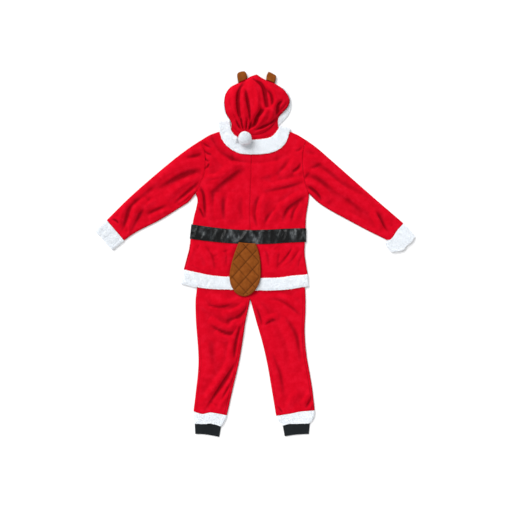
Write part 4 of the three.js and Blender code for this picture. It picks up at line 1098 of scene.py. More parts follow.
def faced_out(points: Array, faces: Array) -> Array:
    """The faces, turned so that they look out of the closed form."""
    a, b, c, d = (points[faces[:, k]] for k in range(4))
    volume = (a * np.cross(b, c)).sum() + (a * np.cross(c, d)).sum()
    return faces if volume > 0 else faces[:, ::-1]


@dataclass
class Piece:
    """A finished piece of cloth, with what is sewn to it."""

    body: Object
    surface: Array
    extras: list[Object] = field(default_factory=list)


def hollows(surface: Array, reach: float = 13.0, full: float = 3.4) -> Array:
    """How deep each point lies below its surroundings of size reach, from 0 to 1 at full depth; the fleece
    finish darkens the colour by it as painted shade.
    """
    level_of = surface[..., 2].copy()
    for axis in (0, 1):
        cell = np.median(np.linalg.norm(np.diff(surface, axis=axis), axis=-1))
        for _ in range(int(np.clip(2 * (reach / cell) ** 2, 1, 60))):
            padded = np.pad(level_of, [(1, 1) if k == axis else (0, 0) for k in (0, 1)], mode="edge")
            before, after = (np.take(padded, np.arange(level_of.shape[axis]) + k, axis) for k in (0, 2))
            level_of = (before + 2 * level_of + after) / 4
    return np.clip((level_of - surface[..., 2]) / full, 0, 1)


def wall(name: str, outer: Array, inner: Array, material: Material, ring: bool = False) -> Piece:
    """A closed wall of cloth between outer and inner points; how deep its outer points lie in creases is
    stored, and the fleece finish darkens the colour there as painted shade.
    """
    points = np.concatenate([outer.reshape(-1, 3), inner.reshape(-1, 3)])
    faces = faced_out(points, wall_faces(outer.shape[0], outer.shape[1], ring))
    body = mesh_object(name, points, faces, material)
    # How deep each outer point lies in a crease, which the fleece finish paints as shade.
    depth = np.concatenate([hollows(outer).ravel(), np.zeros(inner.shape[0] * inner.shape[1])])
    body.data.attributes.new("painted_crease_shade", "FLOAT", "POINT").data.foreach_set("value", depth.astype(np.float32))
    return Piece(body, outer)


def inside_of(patch: Patch, along: Array, columns: int) -> Array:
    """A place further in for each place of a grid."""
    middle = patch.grid(np.array([0.5]), mix(along, 0.5, 0.5))
    return np.repeat(middle, columns, axis=1)


def panel(
    name: str, patch: Patch, lay: Lay, upper: bool, thick: Height | float, steps: Steps, material: Material
) -> Piece:
    """One layer of a laid pair, with its steps across and along."""
    grid = patch.grid(*steps)
    within = inside_of(patch, steps[1], len(steps[0]))
    walls = thick(grid.reshape(-1, 2)) if callable(thick) else thick
    outer, inner = lay.face(grid, within, walls, upper)
    return wall(name, outer, inner, material)


def tube(
    name: str, patch: Patch, lay: Lay, thick: Height | float, steps: Steps, material: Material,
    relief: Optional[Array] = None
) -> Piece:
    """Both layers as one folded piece: a flattened tube with open ends. Relief is added to each column."""
    grid = patch.grid(*steps)
    within = inside_of(patch, steps[1], len(steps[0]))
    walls = thick(grid.reshape(-1, 2)) if callable(thick) else thick
    outer, inner = lay.face(grid, within, walls, True)
    low_outer, low_inner = lay.face(grid, within, walls, False)
    if relief is not None:
        outer[..., 2] += relief
        low_outer[:, 1:-1, 2] = np.maximum(low_outer[:, 1:-1, 2] - relief[1:-1], 0)
    ring = lambda top, foot: np.concatenate([top, foot[:, -2:0:-1]], axis=1)
    made = wall(name, ring(outer, low_outer), ring(inner, low_inner), material, True)
    made.surface = outer
    return made


def pad(name: str, patch: Patch, lay: Lay, steps: Steps, material: Material) -> Piece:
    """A padded piece, solid between its upper and lower faces."""
    grid = patch.grid(*steps)
    within = inside_of(patch, steps[1], len(steps[0]))
    upper, _ = lay.face(grid, within, 0.0, True)
    lower, _ = lay.face(grid, within, 0.0, False)
    return wall(name, upper, lower, material)


# ---- Repeated details, made by node groups ----
class NodeGroup:
    """A geometry node group with named inputs, written node by node."""

    def __init__(self, name: str, **inputs: tuple[str, object]) -> None:
        """Makes the group; each input is its socket kind and its default."""
        self.tree = bpy.data.node_groups.new(name, "GeometryNodeTree")
        self.tree.interface.new_socket("Geometry", in_out="INPUT", socket_type="NodeSocketGeometry")
        for label, (kind, default) in inputs.items():
            socket = self.tree.interface.new_socket(label, in_out="INPUT", socket_type=kind)
            if default is not None:
                socket.default_value = default
        self.tree.interface.new_socket("Geometry", in_out="OUTPUT", socket_type="NodeSocketGeometry")
        self.input = self.tree.nodes.new("NodeGroupInput").outputs

    def add(self, kind: str, links: dict[str | int, object], **settings: object) -> Node:
        """A node with its settings, and with what goes into its inputs."""
        node = self.tree.nodes.new(kind)
        for key, value in settings.items():
            setattr(node, key, value)
        for key, value in links.items():
            if isinstance(value, Socket):
                self.tree.links.new(value, node.inputs[key])
            else:
                node.inputs[key].default_value = value
        return node

    def end(self, geometry: Socket) -> NodeTree:
        """Realizes the instances, sets the material and closes the group."""
        real = self.add("GeometryNodeRealizeInstances", {"Geometry": geometry})
        links = {"Geometry": real.outputs[0], "Material": self.input["Material"]}
        dressed = self.add("GeometryNodeSetMaterial", links)
        self.add("NodeGroupOutput", {0: dressed.outputs[0]})
        return self.tree


def stitch_group() -> NodeTree:
    """Short rods of thread, one after another along the edges of a mesh."""
    group = NodeGroup(
        "stitch_row",
        Spacing=("NodeSocketFloat", 0.004),
        Length=("NodeSocketFloat", 0.0026),
        Thickness=("NodeSocketFloat", 0.0006),
        Material=("NodeSocketMaterial", None),
    )
    curve = group.add("GeometryNodeMeshToCurve", {"Mesh": group.input["Geometry"]})
    spaced = group.add(
        "GeometryNodeResampleCurve",
        {"Curve": curve.outputs[0], "Length": group.input["Spacing"]},
        mode="LENGTH",
    )
    tangent = group.add("GeometryNodeInputTangent", {})
    turn = group.add("FunctionNodeAlignRotationToVector", {"Vector": tangent.outputs[0]}, axis="Z")
    rod = group.add(
        "GeometryNodeMeshCylinder",
        {"Vertices": 6, "Radius": group.input["Thickness"], "Depth": group.input["Length"]},
    )
    rows = group.add(
        "GeometryNodeInstanceOnPoints",
        {"Points": spaced.outputs[0], "Instance": rod.outputs[0], "Rotation": turn.outputs[0]},
    )
    return group.end(rows.outputs[0])


def pile_group() -> NodeTree:
    """Small pointed tufts all over a surface, each with its own tilt and size."""
    group = NodeGroup(
        "plush_pile",
        Density=("NodeSocketFloat", 60000.0),
        Length=("NodeSocketFloat", 0.006),
        Width=("NodeSocketFloat", 0.0022),
        Tilt=("NodeSocketFloat", 0.7),
        Seed=("NodeSocketInt", 1),
        Material=("NodeSocketMaterial", None),
    )
    spots = group.add(
        "GeometryNodeDistributePointsOnFaces",
        {"Mesh": group.input["Geometry"], "Density": group.input["Density"], "Seed": group.input["Seed"]},
    )
    tuft = group.add(
        "GeometryNodeMeshCone",
        {
            "Vertices": 4,
            "Radius Top": 0.0003,
            "Radius Bottom": group.input["Width"],
            "Depth": group.input["Length"],
        },
        fill_type="NONE",
    )
    spin = group.add(
        "FunctionNodeRandomValue",
        {0: (-1.0, -1.0, -3.14), 1: (1.0, 1.0, 3.14), "Seed": group.input["Seed"]},
        data_type="FLOAT_VECTOR",
    )
    lean = {0: spin.outputs[0], "Scale": group.input["Tilt"]}
    tilt = group.add("ShaderNodeVectorMath", lean, operation="SCALE")
    turn = group.add("FunctionNodeEulerToRotation", {0: tilt.outputs[0]})
    both = group.add(
        "FunctionNodeRotateRotation",
        {"Rotation": spots.outputs["Rotation"], "Rotate By": turn.outputs[0]},
        rotation_space="LOCAL",
    )
    sizes = {2: 0.6, 3: 1.25, "Seed": group.input["Seed"]}
    size = group.add("FunctionNodeRandomValue", sizes, data_type="FLOAT")
    tufts = group.add(
        "GeometryNodeInstanceOnPoints",
        {
            "Points": spots.outputs["Points"],
            "Instance": tuft.outputs[0],
            "Rotation": both.outputs[0],
            "Scale": size.outputs[1],
        },
    )
    return group.end(tufts.outputs[0])


def grown(source: Object, tree: NodeTree, **inputs: object) -> Object:
    """Runs a node group on an object and keeps the result as its mesh."""
    modifier = source.modifiers.new(tree.name, "NODES")
    modifier.node_group = tree
    for item in tree.interface.items_tree:
        if item.item_type == "SOCKET" and item.in_out == "INPUT" and item.name in inputs:
            modifier[item.identifier] = inputs[item.name]
    graph = bpy.context.evaluated_depsgraph_get()
    mesh = bpy.data.meshes.new_from_object(source.evaluated_get(graph), depsgraph=graph)
    source.modifiers.clear()
    source.data = mesh
    return source


# ---- The workroom, where pieces are dressed and handed over ----
@dataclass
class Workroom:
    """Finishes and node groups that all pieces share, and the calls that hand a piece over to the frame."""

    finishes: Finishes
    stitches: NodeTree
    pile: NodeTree
    seed: int = 7

    def of(self, cloth: Cloth) -> Material:
        """The finish of a cloth."""
        return self.finishes.cloth[cloth]

    def sew(
        self, name: str, path: Array, thread: Cloth, spacing: float = 4.0, thickness: float = 0.5
    ) -> Object:
        """A row of stitches along a path in millimetres."""
        edges = [(i, i + 1) for i in range(len(path) - 1)]
        mesh = bpy.data.meshes.new(name)
        mesh.from_pydata(((path + (*PLAN_SHIFT, 0)) * MM).tolist(), edges, [])
        return grown(
            placed(name, mesh),
            self.stitches,
            Spacing=spacing * MM,
            Length=0.68 * spacing * MM,
            Thickness=thickness * MM,
            Material=self.finishes.thread[thread],
        )

    def fur(
        self, name: str, surface: Array, density: float,
        length: float = 3.1, width: float = 2.0, tilt: float = 1.1
    ) -> Object:
        """Tufts all over an open surface in millimetres."""
        rows, columns = surface.shape[:2]
        r, c = np.meshgrid(np.arange(rows - 1), np.arange(columns - 1), indexing="ij")
        corner = r * columns + c
        faces = np.stack([corner, corner + 1, corner + columns + 1, corner + columns], -1).reshape(-1, 4)
        points = surface.reshape(-1, 3)
        a, b, d = points[faces[:, 0]], points[faces[:, 1]], points[faces[:, 3]]
        if np.cross(b - a, d - a)[:, 2].sum() < 0:
            faces = faces[:, ::-1]
        self.seed += 1
        return grown(
            mesh_object(name, points, faces, self.of(Cloth.PLUSH)),
            self.pile,
            Density=density,
            Length=length * MM,
            Width=width * MM,
            Tilt=tilt,
            Seed=self.seed,
            Material=self.of(Cloth.PLUSH),
        )

    def keep(self, piece: Piece, node: str, cloth: Cloth) -> None:
        """Hands a piece and what is sewn to it over to the frame."""
        for made in (piece.body, *piece.extras):
            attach(made, "root")
        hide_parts(node)
        log.info("%s: %d faces", piece.body.name, len(piece.body.data.polygons))

    def keep_sheet(
        self, piece: Piece, node: str, cloth: Cloth, patch: Patch, layers: int = 1
    ) -> None:
        """Hands over a sheet of cloth; the size of its cut is worked out and not used."""
        self.keep(piece, node, cloth)
        flat, area = patch.cut(layers)
        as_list(piece.extras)


@dataclass(frozen=True)
class Layer:
    """A plain layer of cloth: which cloth, how it lies, how thick it is and its steps."""

    cloth: Cloth
    patch: Patch
    lay: Lay
    steps: Steps
    thick: Height | float = FLEECE
    upper: bool = False

    def handed(self, room: Workroom, name: str, node: str) -> None:
        """Makes the layer and hands it over."""
        material = room.of(self.cloth)
        piece = panel(name, self.patch, self.lay, self.upper, self.thick, self.steps, material)
        room.keep_sheet(piece, node, self.cloth, self.patch)


def on_top(lay: Lay, path: Array, stand: float = 0.35) -> Array:
    """Points of a plan path, laid on the upper face of a lay."""
    outer, _ = lay.face(path[None], path[None] + (0.0, 1.0), 0.0, True)
    return outer[0] + (0, 0, stand)


def groove(places: Array, lines: Sequence[Line], depth: float, width: float) -> Array:
    """Dip along seams."""
    return depth * np.exp(-((distance(places, lines) / width) ** 2))


def plush_wall(full: float, lines: Sequence[Line], rounding: float = 9.0) -> Height:
    """Thickness of plush, which rounds off towards the long edges of its strip."""

    def thick(places: Array) -> Array:
        rise = 1 - np.clip(distance(places, lines) / rounding, 0, 1)
        return full * (0.5 + 0.5 * np.sqrt(1 - rise**2))

    return thick


def from_tail(places: Array) -> Array:
    """How far a place lies outside the tail, roughly."""
    left, right = LINES["tailSideLeft"].points[::-1], LINES["tailSideRight"].points[::-1]
    x, y = places[:, 0], places[:, 1]
    beside = np.maximum(np.interp(y, left[:, 1], left[:, 0]) - x, x - np.interp(y, right[:, 1], right[:, 0]))
    return np.maximum(beside, np.maximum(y - TAIL_TOP, TAIL_BOTTOM - y))


TORSO_RIMS = tuple(
    LINES[name + side.value] for name in ("side", "underarm", "overarm", "shoulder") for side in Side
)
BELT_MIDDLE = LINES["beltTop"].between(LINES["beltFoot"], 0.5)


@dataclass
class Bodice:
    """Back and front of the bodice in two halves each, with the zip down the front."""

    zip_half_width: float = 6.0
    raised: float = 3.0
    deepest: float = -6.2
    across: int = 76
    along: int = 150
    hidden: float = 0.5
    rest: Unrest = Unrest(3)

    def rise(self, places: Array) -> Array:
        """Folds and unevenness of the back."""
        free = (1 - belt_band(places)) * (1 - collar_band(places))
        rough = 2.6 * self.rest.at(places, 120, 84, 35) + 0.8 * self.rest.at(places, 60)
        rough = rough + 0.25 * self.rest.at(places, 24, 40, 30)
        creased = np.maximum(FOLD_SCALE * fold_height(BODY_FOLDS, places) + rough, self.deepest)
        height = (self.raised + creased) * free
        seams = [LINES["armholeLeft"], LINES["armholeRight"], LINES["centreBack"]]
        return height - groove(places, seams, 1.5, 3.0)

    def under(self, places: Array) -> Array:
        """Shallow hollows of the front, which lies on the floor."""
        return np.clip(0.9 * self.rest.at(places, 50, 90, -20), 0, 1)

    def lay(self) -> Lay:
        """How the bodice lies."""
        return Lay(TORSO_RIMS, front_low, bodice_top, lift=self.rise, under=self.under, parting=SEAM)

    def half(self, side: Side, half_gap: float) -> Patch:
        """Plan of one half; its centre edge stands off the centre line by a half gap."""
        left = side is Side.LEFT
        outer = Line.chain(LINES["side" + side.value], LINES["armhole" + side.value], ARMPIT_SHARE)
        inward = -half_gap if left else half_gap
        share = BELT_MIDDLE.share_at_x(EDGES["centreBack"][0][0] + inward)
        foot = BELT_MIDDLE.stretch(0, share) if left else BELT_MIDDLE.stretch(share, 1)
        neck = LINES["neck" + side.value]
        top = Line.chain(LINES["shoulder" + side.value], neck, 0.5)
        last = 0.5 + 0.5 * neck.share_at_x(EDGES["centreBack"][-1][0] + inward)
        crown = top.stretch(0, last if left else min(last, 1.0))
        centre = LINES["centreBack"].moved(inward, 0)
        edges = (outer, centre) if left else (centre, outer)
        return Patch(*edges, foot.moved(0, LAYER / 2), crown if left else crown.reversed())

    def build(self, room: Workroom) -> None:
        """Makes the four halves, the zip and the seams' stitches."""
        lay, red = self.lay(), room.of(Cloth.FLEECE)
        steps = (eased(self.across), eased(self.along))
        coarse = (eased(int(self.across * self.hidden)), eased(int(self.along * self.hidden)))
        for side in Side:
            back = self.half(side, SEAM / 2)
            piece = panel(f"back_{side.low}_cloth", back, lay, True, FLEECE, steps, red)
            seam = LINES["armhole" + side.value].moved(-3.0 * side.sign, 0).coarse(90)
            row = room.sew(f"armhole_stitches_{side.low}", on_top(lay, seam), Cloth.FLEECE, 3.2, 0.35)
            piece.extras.append(row)
            if side is Side.LEFT:
                centre = LINES["centreBack"].moved(2.6, 0).stretch(0.08, 0.84).coarse(120)
                row = room.sew("centre_back_stitches", on_top(lay, centre), Cloth.FLEECE, 3.2, 0.35)
                piece.extras.append(row)
            room.keep_sheet(piece, f"back_{side.low}", Cloth.FLEECE, back)
            front = self.half(side, self.zip_half_width)
            plain = Layer(Cloth.FLEECE, front, lay, coarse)
            plain.handed(room, f"front_{side.low}_cloth", f"front_{side.low}")
        left = LINES["centreBack"].moved(SEAM - self.zip_half_width, 0)
        right = LINES["centreBack"].moved(self.zip_half_width - SEAM, 0)
        tape = Patch(left, right, *straight_ends(left, right))
        piece = panel("front_zip_tape", tape, lay, False, FLEECE, (eased(6), eased(90)), room.of(Cloth.ZIP))
        teeth = LINES["centreBack"].coarse(160)
        height = lay.face(teeth[None], teeth[None] + (1.0, 0), 0.0, False)[0][0] + (0, 0, 0.4)
        piece.extras.append(room.sew("front_zip_teeth", height, Cloth.FLEECE, 2.4, 1.0))
        room.keep_sheet(piece, "front_zip", Cloth.ZIP, tape)


@dataclass
class Sleeve:
    """One sleeve with its plush cuff."""

    side: Side
    raised: float = 3.0
    deepest: float = -6.2
    cuff_height: float = 14.0
    across: int = 50
    along: int = 150
    rest: Unrest = Unrest(5)

    def rise(self, places: Array) -> Array:
        """Folds and unevenness of the sleeve."""
        table = LEFT_SLEEVE_FOLDS if self.side is Side.LEFT else RIGHT_SLEEVE_FOLDS
        turn = 42.0 if self.side is Side.LEFT else -42.0
        rough = 1.8 * self.rest.at(places, 130, 60, turn) + 0.25 * self.rest.at(places, 32, 20, turn)
        height = self.raised + np.maximum(FOLD_SCALE * fold_height(table, places) + rough, self.deepest)
        seams = [LINES["armhole" + self.side.value], LINES["sleeveFoot" + self.side.value]]
        return height - groove(places, seams, 1.8, 4.0)

    def build(self, room: Workroom) -> None:
        """Makes the sleeve and the cuff."""
        name, out = self.side.value, self.side.sign
        sleeve = Patch(
            LINES["underarm" + name],
            LINES["overarm" + name],
            LINES["armhole" + name].moved(SEAM * out, 0),
            LINES["sleeveFoot" + name].reversed(),
        )
        lay = Lay(TORSO_RIMS, floor, level(2 * FLEECE + LOFT), lift=self.rise)
        steps = (eased(self.across), eased(self.along))
        piece = tube(f"sleeve_{self.side.low}_cloth", sleeve, lay, FLEECE, steps, room.of(Cloth.FLEECE))
        room.keep_sheet(piece, f"sleeve_{self.side.low}", Cloth.FLEECE, sleeve, 2)
        cuff = Patch(
            LINES["cuffLow" + name],
            LINES["cuffTop" + name],
            LINES["sleeveFoot" + name].reversed().moved(SEAM * out, -SEAM),
            LINES["cuffEnd" + name].reversed(),
        )
        dents = CUFF_FOLDS[self.side]
        uneven = lambda places: (1.2 * self.rest.at(places, 22), 0.3 * self.rest.at(places, 9))
        lift = lambda places: sum(uneven(places), fold_height(dents, places))
        cuff_lay = Lay((cuff.left, cuff.right), floor, level(self.cuff_height), radius=10, lift=lift)
        thick = plush_wall(PLUSH - 2, [cuff.start, cuff.end])
        material = room.of(Cloth.PLUSH)
        piece = tube(f"cuff_{self.side.low}_plush", cuff, cuff_lay, thick, (eased(48), eased(34)), material)
        piece.extras.append(room.fur(f"cuff_{self.side.low}_pile", piece.surface, 150000))
        room.keep_sheet(piece, f"cuff_{self.side.low}", Cloth.PLUSH, cuff, 2)


@dataclass
class Belt:
    """Belt band round the waist, of thin glossy cloth that creases across."""

    ease: float = 4.0
    rise_all_over: float = 0.6
    hem: float = 4.0
    rest: Unrest = Unrest(11)

    def creases(self, places: Array) -> Array:
        """Irregular creases, and the folded edges."""
        ridges = 1 - np.abs(self.rest.at(places, 15, 40, 14))
        slanting = 1 - np.abs(self.rest.at(places + 900, 19, 34, -28))
        fine = 1 - np.abs(self.rest.at(places + 500, 8, 17, -20))
        edge = distance(places, [LINES["beltTop"].widened(self.ease), LINES["beltFoot"].widened(self.ease)])
        free = smoothstep(0, 9, edge)
        hem = 0.7 * (1 - smoothstep(self.hem - 1, self.hem, edge))
        crease = 0.7 * ridges**2 + 1.2 * slanting**2 + 0.3 * fine**3 + fold_height(BELT_FOLDS, places)
        return self.rise_all_over * free + crease * (0.25 + 0.75 * free) + hem

    def build(self, room: Workroom) -> None:
        """Makes the back and the front of the belt, with its edge stitches."""
        start, end = LINES["beltFoot"].widened(self.ease), LINES["beltTop"].widened(self.ease)
        left, right = straight_ends(start, end)
        belt = Patch(left, right, start, end)
        top = lambda places: skirt_top(places) + LAYER + VINYL
        lay = Lay((left, right), floor, top, radius=ROLL + self.ease, lift=self.creases, parting=SEAM)
        material = room.of(Cloth.BELT)
        piece = panel("belt_back_band", belt, lay, True, VINYL, (eased(300), eased(44)), material)
        for label, line, shift in (("top", end, -2.6), ("foot", start, 2.6)):
            path = line.moved(0, shift).stretch(0.01, 0.99).coarse(260)
            row = room.sew(f"belt_{label}_stitches", on_top(lay, path, 0.2), Cloth.BELT, 4.0, 0.4)
            piece.extras.append(row)
        room.keep_sheet(piece, "belt_back", Cloth.BELT, belt)
        plain = Layer(Cloth.BELT, belt, lay, (eased(80), eased(10)), VINYL)
        plain.handed(room, "belt_front_band", "belt_front")


@dataclass
class Skirt:
    """Skirt of the jacket, back and front, with its plush trim."""

    raised: float = 4.0
    plush: float = PLUSH - 2
    rest: Unrest = Unrest(17)
    dents: tuple[Fold, ...] = folds(
        (((-206, -118), (-224, -134), (-234, -158)), 6, -2.4, 0.2),
        (((-196, -116), (-212, -136), (-220, -160)), 9, 1.6),
        (((142, -116), (156, -130), (170, -158)), 6, -2.2),
        (((-300, -96), (-304, -120), (-296, -146)), 8, -1.4),
        (((60, -120), (74, -140), (70, -160)), 8, -1.2),
        (((206, -112), (214, -134), (206, -150)), 8, 1.4),
    )

    def rise(self, places: Array) -> Array:
        """Folds of the skirt; it stands a little off the trousers between the belt and the trim."""
        y = places[:, 1]
        foot, belt = crossing("skirtFoot", places), crossing("beltFoot", places)
        free = smoothstep(foot + 2, foot + 30, y) * (1 - smoothstep(belt - 26, belt - 2, y))
        free = free * smoothstep(-2, 24, from_tail(places))
        rough = 0.7 * self.rest.at(places, 60, 44) + 0.15 * self.rest.at(places, 22)
        return np.maximum(self.raised + FOLD_SCALE * fold_height(SKIRT_FOLDS, places) + rough, 0.2) * free

    def dent(self, places: Array) -> Array:
        """Dents of the trim."""
        free = smoothstep(-2, 16, from_tail(places))
        uneven = (0.8 * self.rest.at(places, 26), 0.25 * self.rest.at(places, 9))
        return sum(uneven, 1.4 * fold_height(self.dents, places)) * free

    def build(self, room: Workroom) -> None:
        """Makes the skirt and the trim."""
        skirt = Patch(
            LINES["skirtSideLeft"],
            LINES["skirtSideRight"],
            BELT_MIDDLE.moved(0, -LAYER / 2),
            LINES["skirtFoot"].moved(0, SEAM / 2),
        )
        under = lambda places: np.clip(0.4 * self.rest.at(places, 60), 0, 1)
        lay = Lay((skirt.left, skirt.right), front_low, skirt_top, lift=self.rise, under=under, parting=SEAM)
        back = Layer(Cloth.FLEECE, skirt, lay, (eased(150), eased(52)), upper=True)
        back.handed(room, "skirt_back_cloth", "skirt_back")
        front = Layer(Cloth.FLEECE, skirt, lay, (eased(60), eased(24)))
        front.handed(room, "skirt_front_cloth", "skirt_front")
        foot, hem = LINES["skirtFoot"], LINES["hem"]
        left, right = straight_ends(foot, hem)
        trim = Patch(left, right, foot.moved(0, -SEAM / 2), hem)
        thick = plush_wall(self.plush, [trim.start, trim.end])
        trim_lay = Lay(
            (left, right),
            floor,
            lambda places: trouser_top(places) + LAYER + thick(places),
            middle=lambda places: (trouser_top(places) + LAYER + self.plush) / 2,
            lift=self.dent,
            parting=SEAM,
        )
        white = room.of(Cloth.PLUSH)
        piece = panel("skirt_trim_back_plush", trim, trim_lay, True, thick, (eased(190), eased(26)), white)
        piece.extras.append(room.fur("skirt_trim_pile", piece.surface, 125000))
        path = hem.moved(0, 9).stretch(0.01, 0.99).coarse(260)
        row = room.sew("skirt_trim_stitches", on_top(trim_lay, path, 1.6), Cloth.PLUSH, 4.4, 0.45)
        piece.extras.append(row)
        room.keep_sheet(piece, "skirt_trim_back", Cloth.PLUSH, trim)
        plain = Layer(Cloth.PLUSH, trim, trim_lay, (eased(90), eased(10)), FLAT_PLUSH)
        plain.handed(room, "skirt_trim_front_plush", "skirt_trim_front")


@dataclass
class Leg:
    """One trouser leg, back and front, with its plush trim and ribbed ankle."""

    side: Side
    raised: float = 3.0
    deepest: float = -6.4
    seam_inset: float = 11.0
    ankle_height: float = 12.0
    rib_height: float = 6.0
    ribs: int = 34
    rib_relief: float = 0.55
    rest: Unrest = Unrest(23)

    def rise(self, places: Array) -> Array:
        """Folds of the leg, with a seam a little inside each outline."""
        free = 1 - skirt_band(places)
        rough = 1.9 * self.rest.at(places, 64, 150, 6) + 0.25 * self.rest.at(places, 26, 44, -20)
        height = self.raised + np.maximum(FOLD_SCALE * fold_height(LEG_FOLDS, places) + rough, self.deepest)
        out = self.side.sign
        seams = [LINES["outseam" + self.side.value].moved(-self.seam_inset * out, 0)]
        seams.append(LINES["inseam" + self.side.value].moved(self.seam_inset * out, 0))
        foot = [LINES["legFoot" + self.side.value]]
        return (height - groove(places, seams, 1.5, 2.6)) * free - groove(places, foot, 1.4, 4.0)

    def build(self, room: Workroom) -> None:
        """Makes the leg, its trim and its ribs."""
        name, low, left = self.side.value, self.side.low, self.side is Side.LEFT
        seat = Line.chain(LINES["seat"], LINES["inseam" + name], SEAT_SHARE).moved(self.side.sign * SEAM / 2, 0)
        outer, top = LINES["outseam" + name], LINES["trouserTop"]
        centre = top.share_at_x(EDGES["seat"][0][0])
        sides = (outer, seat) if left else (seat, outer)
        waist = top.stretch(0, centre) if left else top.stretch(centre, 1)
        leg = Patch(*sides, waist, LINES["legFoot" + name].moved(0, 1.3 * LAYER))
        rims = tuple(LINES[part + side.value] for part in ("outseam", "inseam") for side in Side)
        under = lambda places: np.clip(0.9 * self.rest.at(places, 60, 90), 0, 1) * (1 - skirt_band(places))
        lay = Lay(rims, trouser_low, trouser_top, lift=self.rise, under=under, parting=SEAM)
        red = room.of(Cloth.FLEECE)
        piece = panel(f"trouser_back_{low}_cloth", leg, lay, True, FLEECE, (eased(56), eased(200)), red)
        for label, line in (("out", "outseam"), ("in", "inseam")):
            inset = self.seam_inset * (-self.side.sign if label == "out" else self.side.sign)
            path = LINES[line + name].moved(inset * 1.25, 0).stretch(0.32 if label == "out" else 0.06, 0.985)
            row = room.sew(f"{line}_stitches_{low}", on_top(lay, path.coarse(200)), Cloth.FLEECE, 3.4, 0.35)
            piece.extras.append(row)
        room.keep_sheet(piece, f"trouser_back_{low}", Cloth.FLEECE, leg)
        plain = Layer(Cloth.FLEECE, leg, lay, (eased(24), eased(90)))
        plain.handed(room, f"trouser_front_{low}_cloth", f"trouser_front_{low}")
        self.build_ankle(room)

    def build_ankle(self, room: Workroom) -> None:
        """Makes the plush trim and the ribbed cuff under it."""
        name, low, left = self.side.value, self.side.low, self.side is Side.LEFT
        between = ("ankleOut", "ankleIn") if left else ("ankleIn", "ankleOut")
        ends = LINES["legFoot" + name], LINES["ankleFoot" + name]
        trim = Patch(*(LINES[part + name] for part in between), *ends)
        lift = lambda places: 1.8 * self.rest.at(places, 24, 30) + 0.3 * self.rest.at(places, 9)
        lay = Lay((trim.left, trim.right), floor, level(self.ankle_height), radius=9, lift=lift)
        thick = plush_wall(PLUSH - 3, [trim.start, trim.end])
        white = room.of(Cloth.PLUSH)
        piece = tube(f"ankle_trim_{low}_plush", trim, lay, thick, (eased(60), eased(28)), white)
        piece.extras.append(room.fur(f"ankle_{low}_pile", piece.surface, 140000))
        room.keep_sheet(piece, f"ankle_trim_{low}", Cloth.PLUSH, trim, 2)
        between = ("ribOut", "ribIn") if left else ("ribIn", "ribOut")
        start = LINES["ankleFoot" + name].moved(0, -1.5 * LAYER)
        rib = Patch(*(LINES[part + name] for part in between), start, LINES["ribFoot" + name])
        across = np.linspace(0, 1, 4 * self.ribs + 1)
        relief = self.rib_relief * np.cos(2 * np.pi * self.ribs * across) * np.sin(np.pi * across) ** 0.3
        swell = lambda places: 0.5 * self.rest.at(places, 26)
        rib_lay = Lay((rib.left, rib.right), floor, level(self.rib_height), radius=3, lift=swell)
        material = room.of(Cloth.RIB)
        piece = tube(f"ankle_rib_{low}_knit", rib, rib_lay, FLEECE, (across, eased(16)), material, relief)
        room.keep_sheet(piece, f"ankle_rib_{low}", Cloth.RIB, rib, 2)


@dataclass
class Collar:
    """Plush collar round the neck seam: the back half on the bodice and the front half on the floor."""

    plush: float = PLUSH - 2
    rest: Unrest = Unrest(29)
    lumps: tuple[Fold, ...] = folds(
        (((-92, 564), (-90, 548), (-86, 532)), 7, 15),
        (((-108, 566), (-104, 544), (-94, 520)), 4, -5),
        (((-60, 512), (-86, 508), (-100, 520)), 7, -1.8),
        (((-64, 524), (-50, 510), (-30, 504)), 8, -1.6),
        (((128, 610), (132, 586), (120, 566)), 9, -1.4),
        (((-146, 610), (-150, 590), (-140, 566)), 9, -1.2),
    )

    def build(self, room: Workroom) -> None:
        """Makes both halves."""
        inner, outer = LINES["collarInner"], LINES["collarOuter"]
        ends = straight_ends(inner, outer)
        collar = Patch(*ends, inner, outer)
        thick = plush_wall(self.plush, [inner, outer])
        low = lambda places: bodice_top(places) + LAYER
        uneven = lambda places: (1.2 * self.rest.at(places, 28), 0.3 * self.rest.at(places, 10))
        lift = lambda places: sum(uneven(places), fold_height(self.lumps, places))
        lay = Lay(
            tuple(ends),
            floor,
            lambda places: low(places) + thick(places),
            radius=12,
            middle=lambda places: (low(places) + self.plush) / 2,
            lift=lift,
            parting=SEAM,
        )
        white = room.of(Cloth.PLUSH)
        piece = panel("collar_back_plush", collar, lay, True, thick, (eased(190), eased(32)), white)
        piece.extras.append(room.fur("collar_pile", piece.surface, 125000))
        room.keep_sheet(piece, "collar_back", Cloth.PLUSH, collar)
        plain = Layer(Cloth.PLUSH, collar, lay, (eased(90), eased(10)), FLAT_PLUSH)
        plain.handed(room, "collar_front_plush", "collar_front")


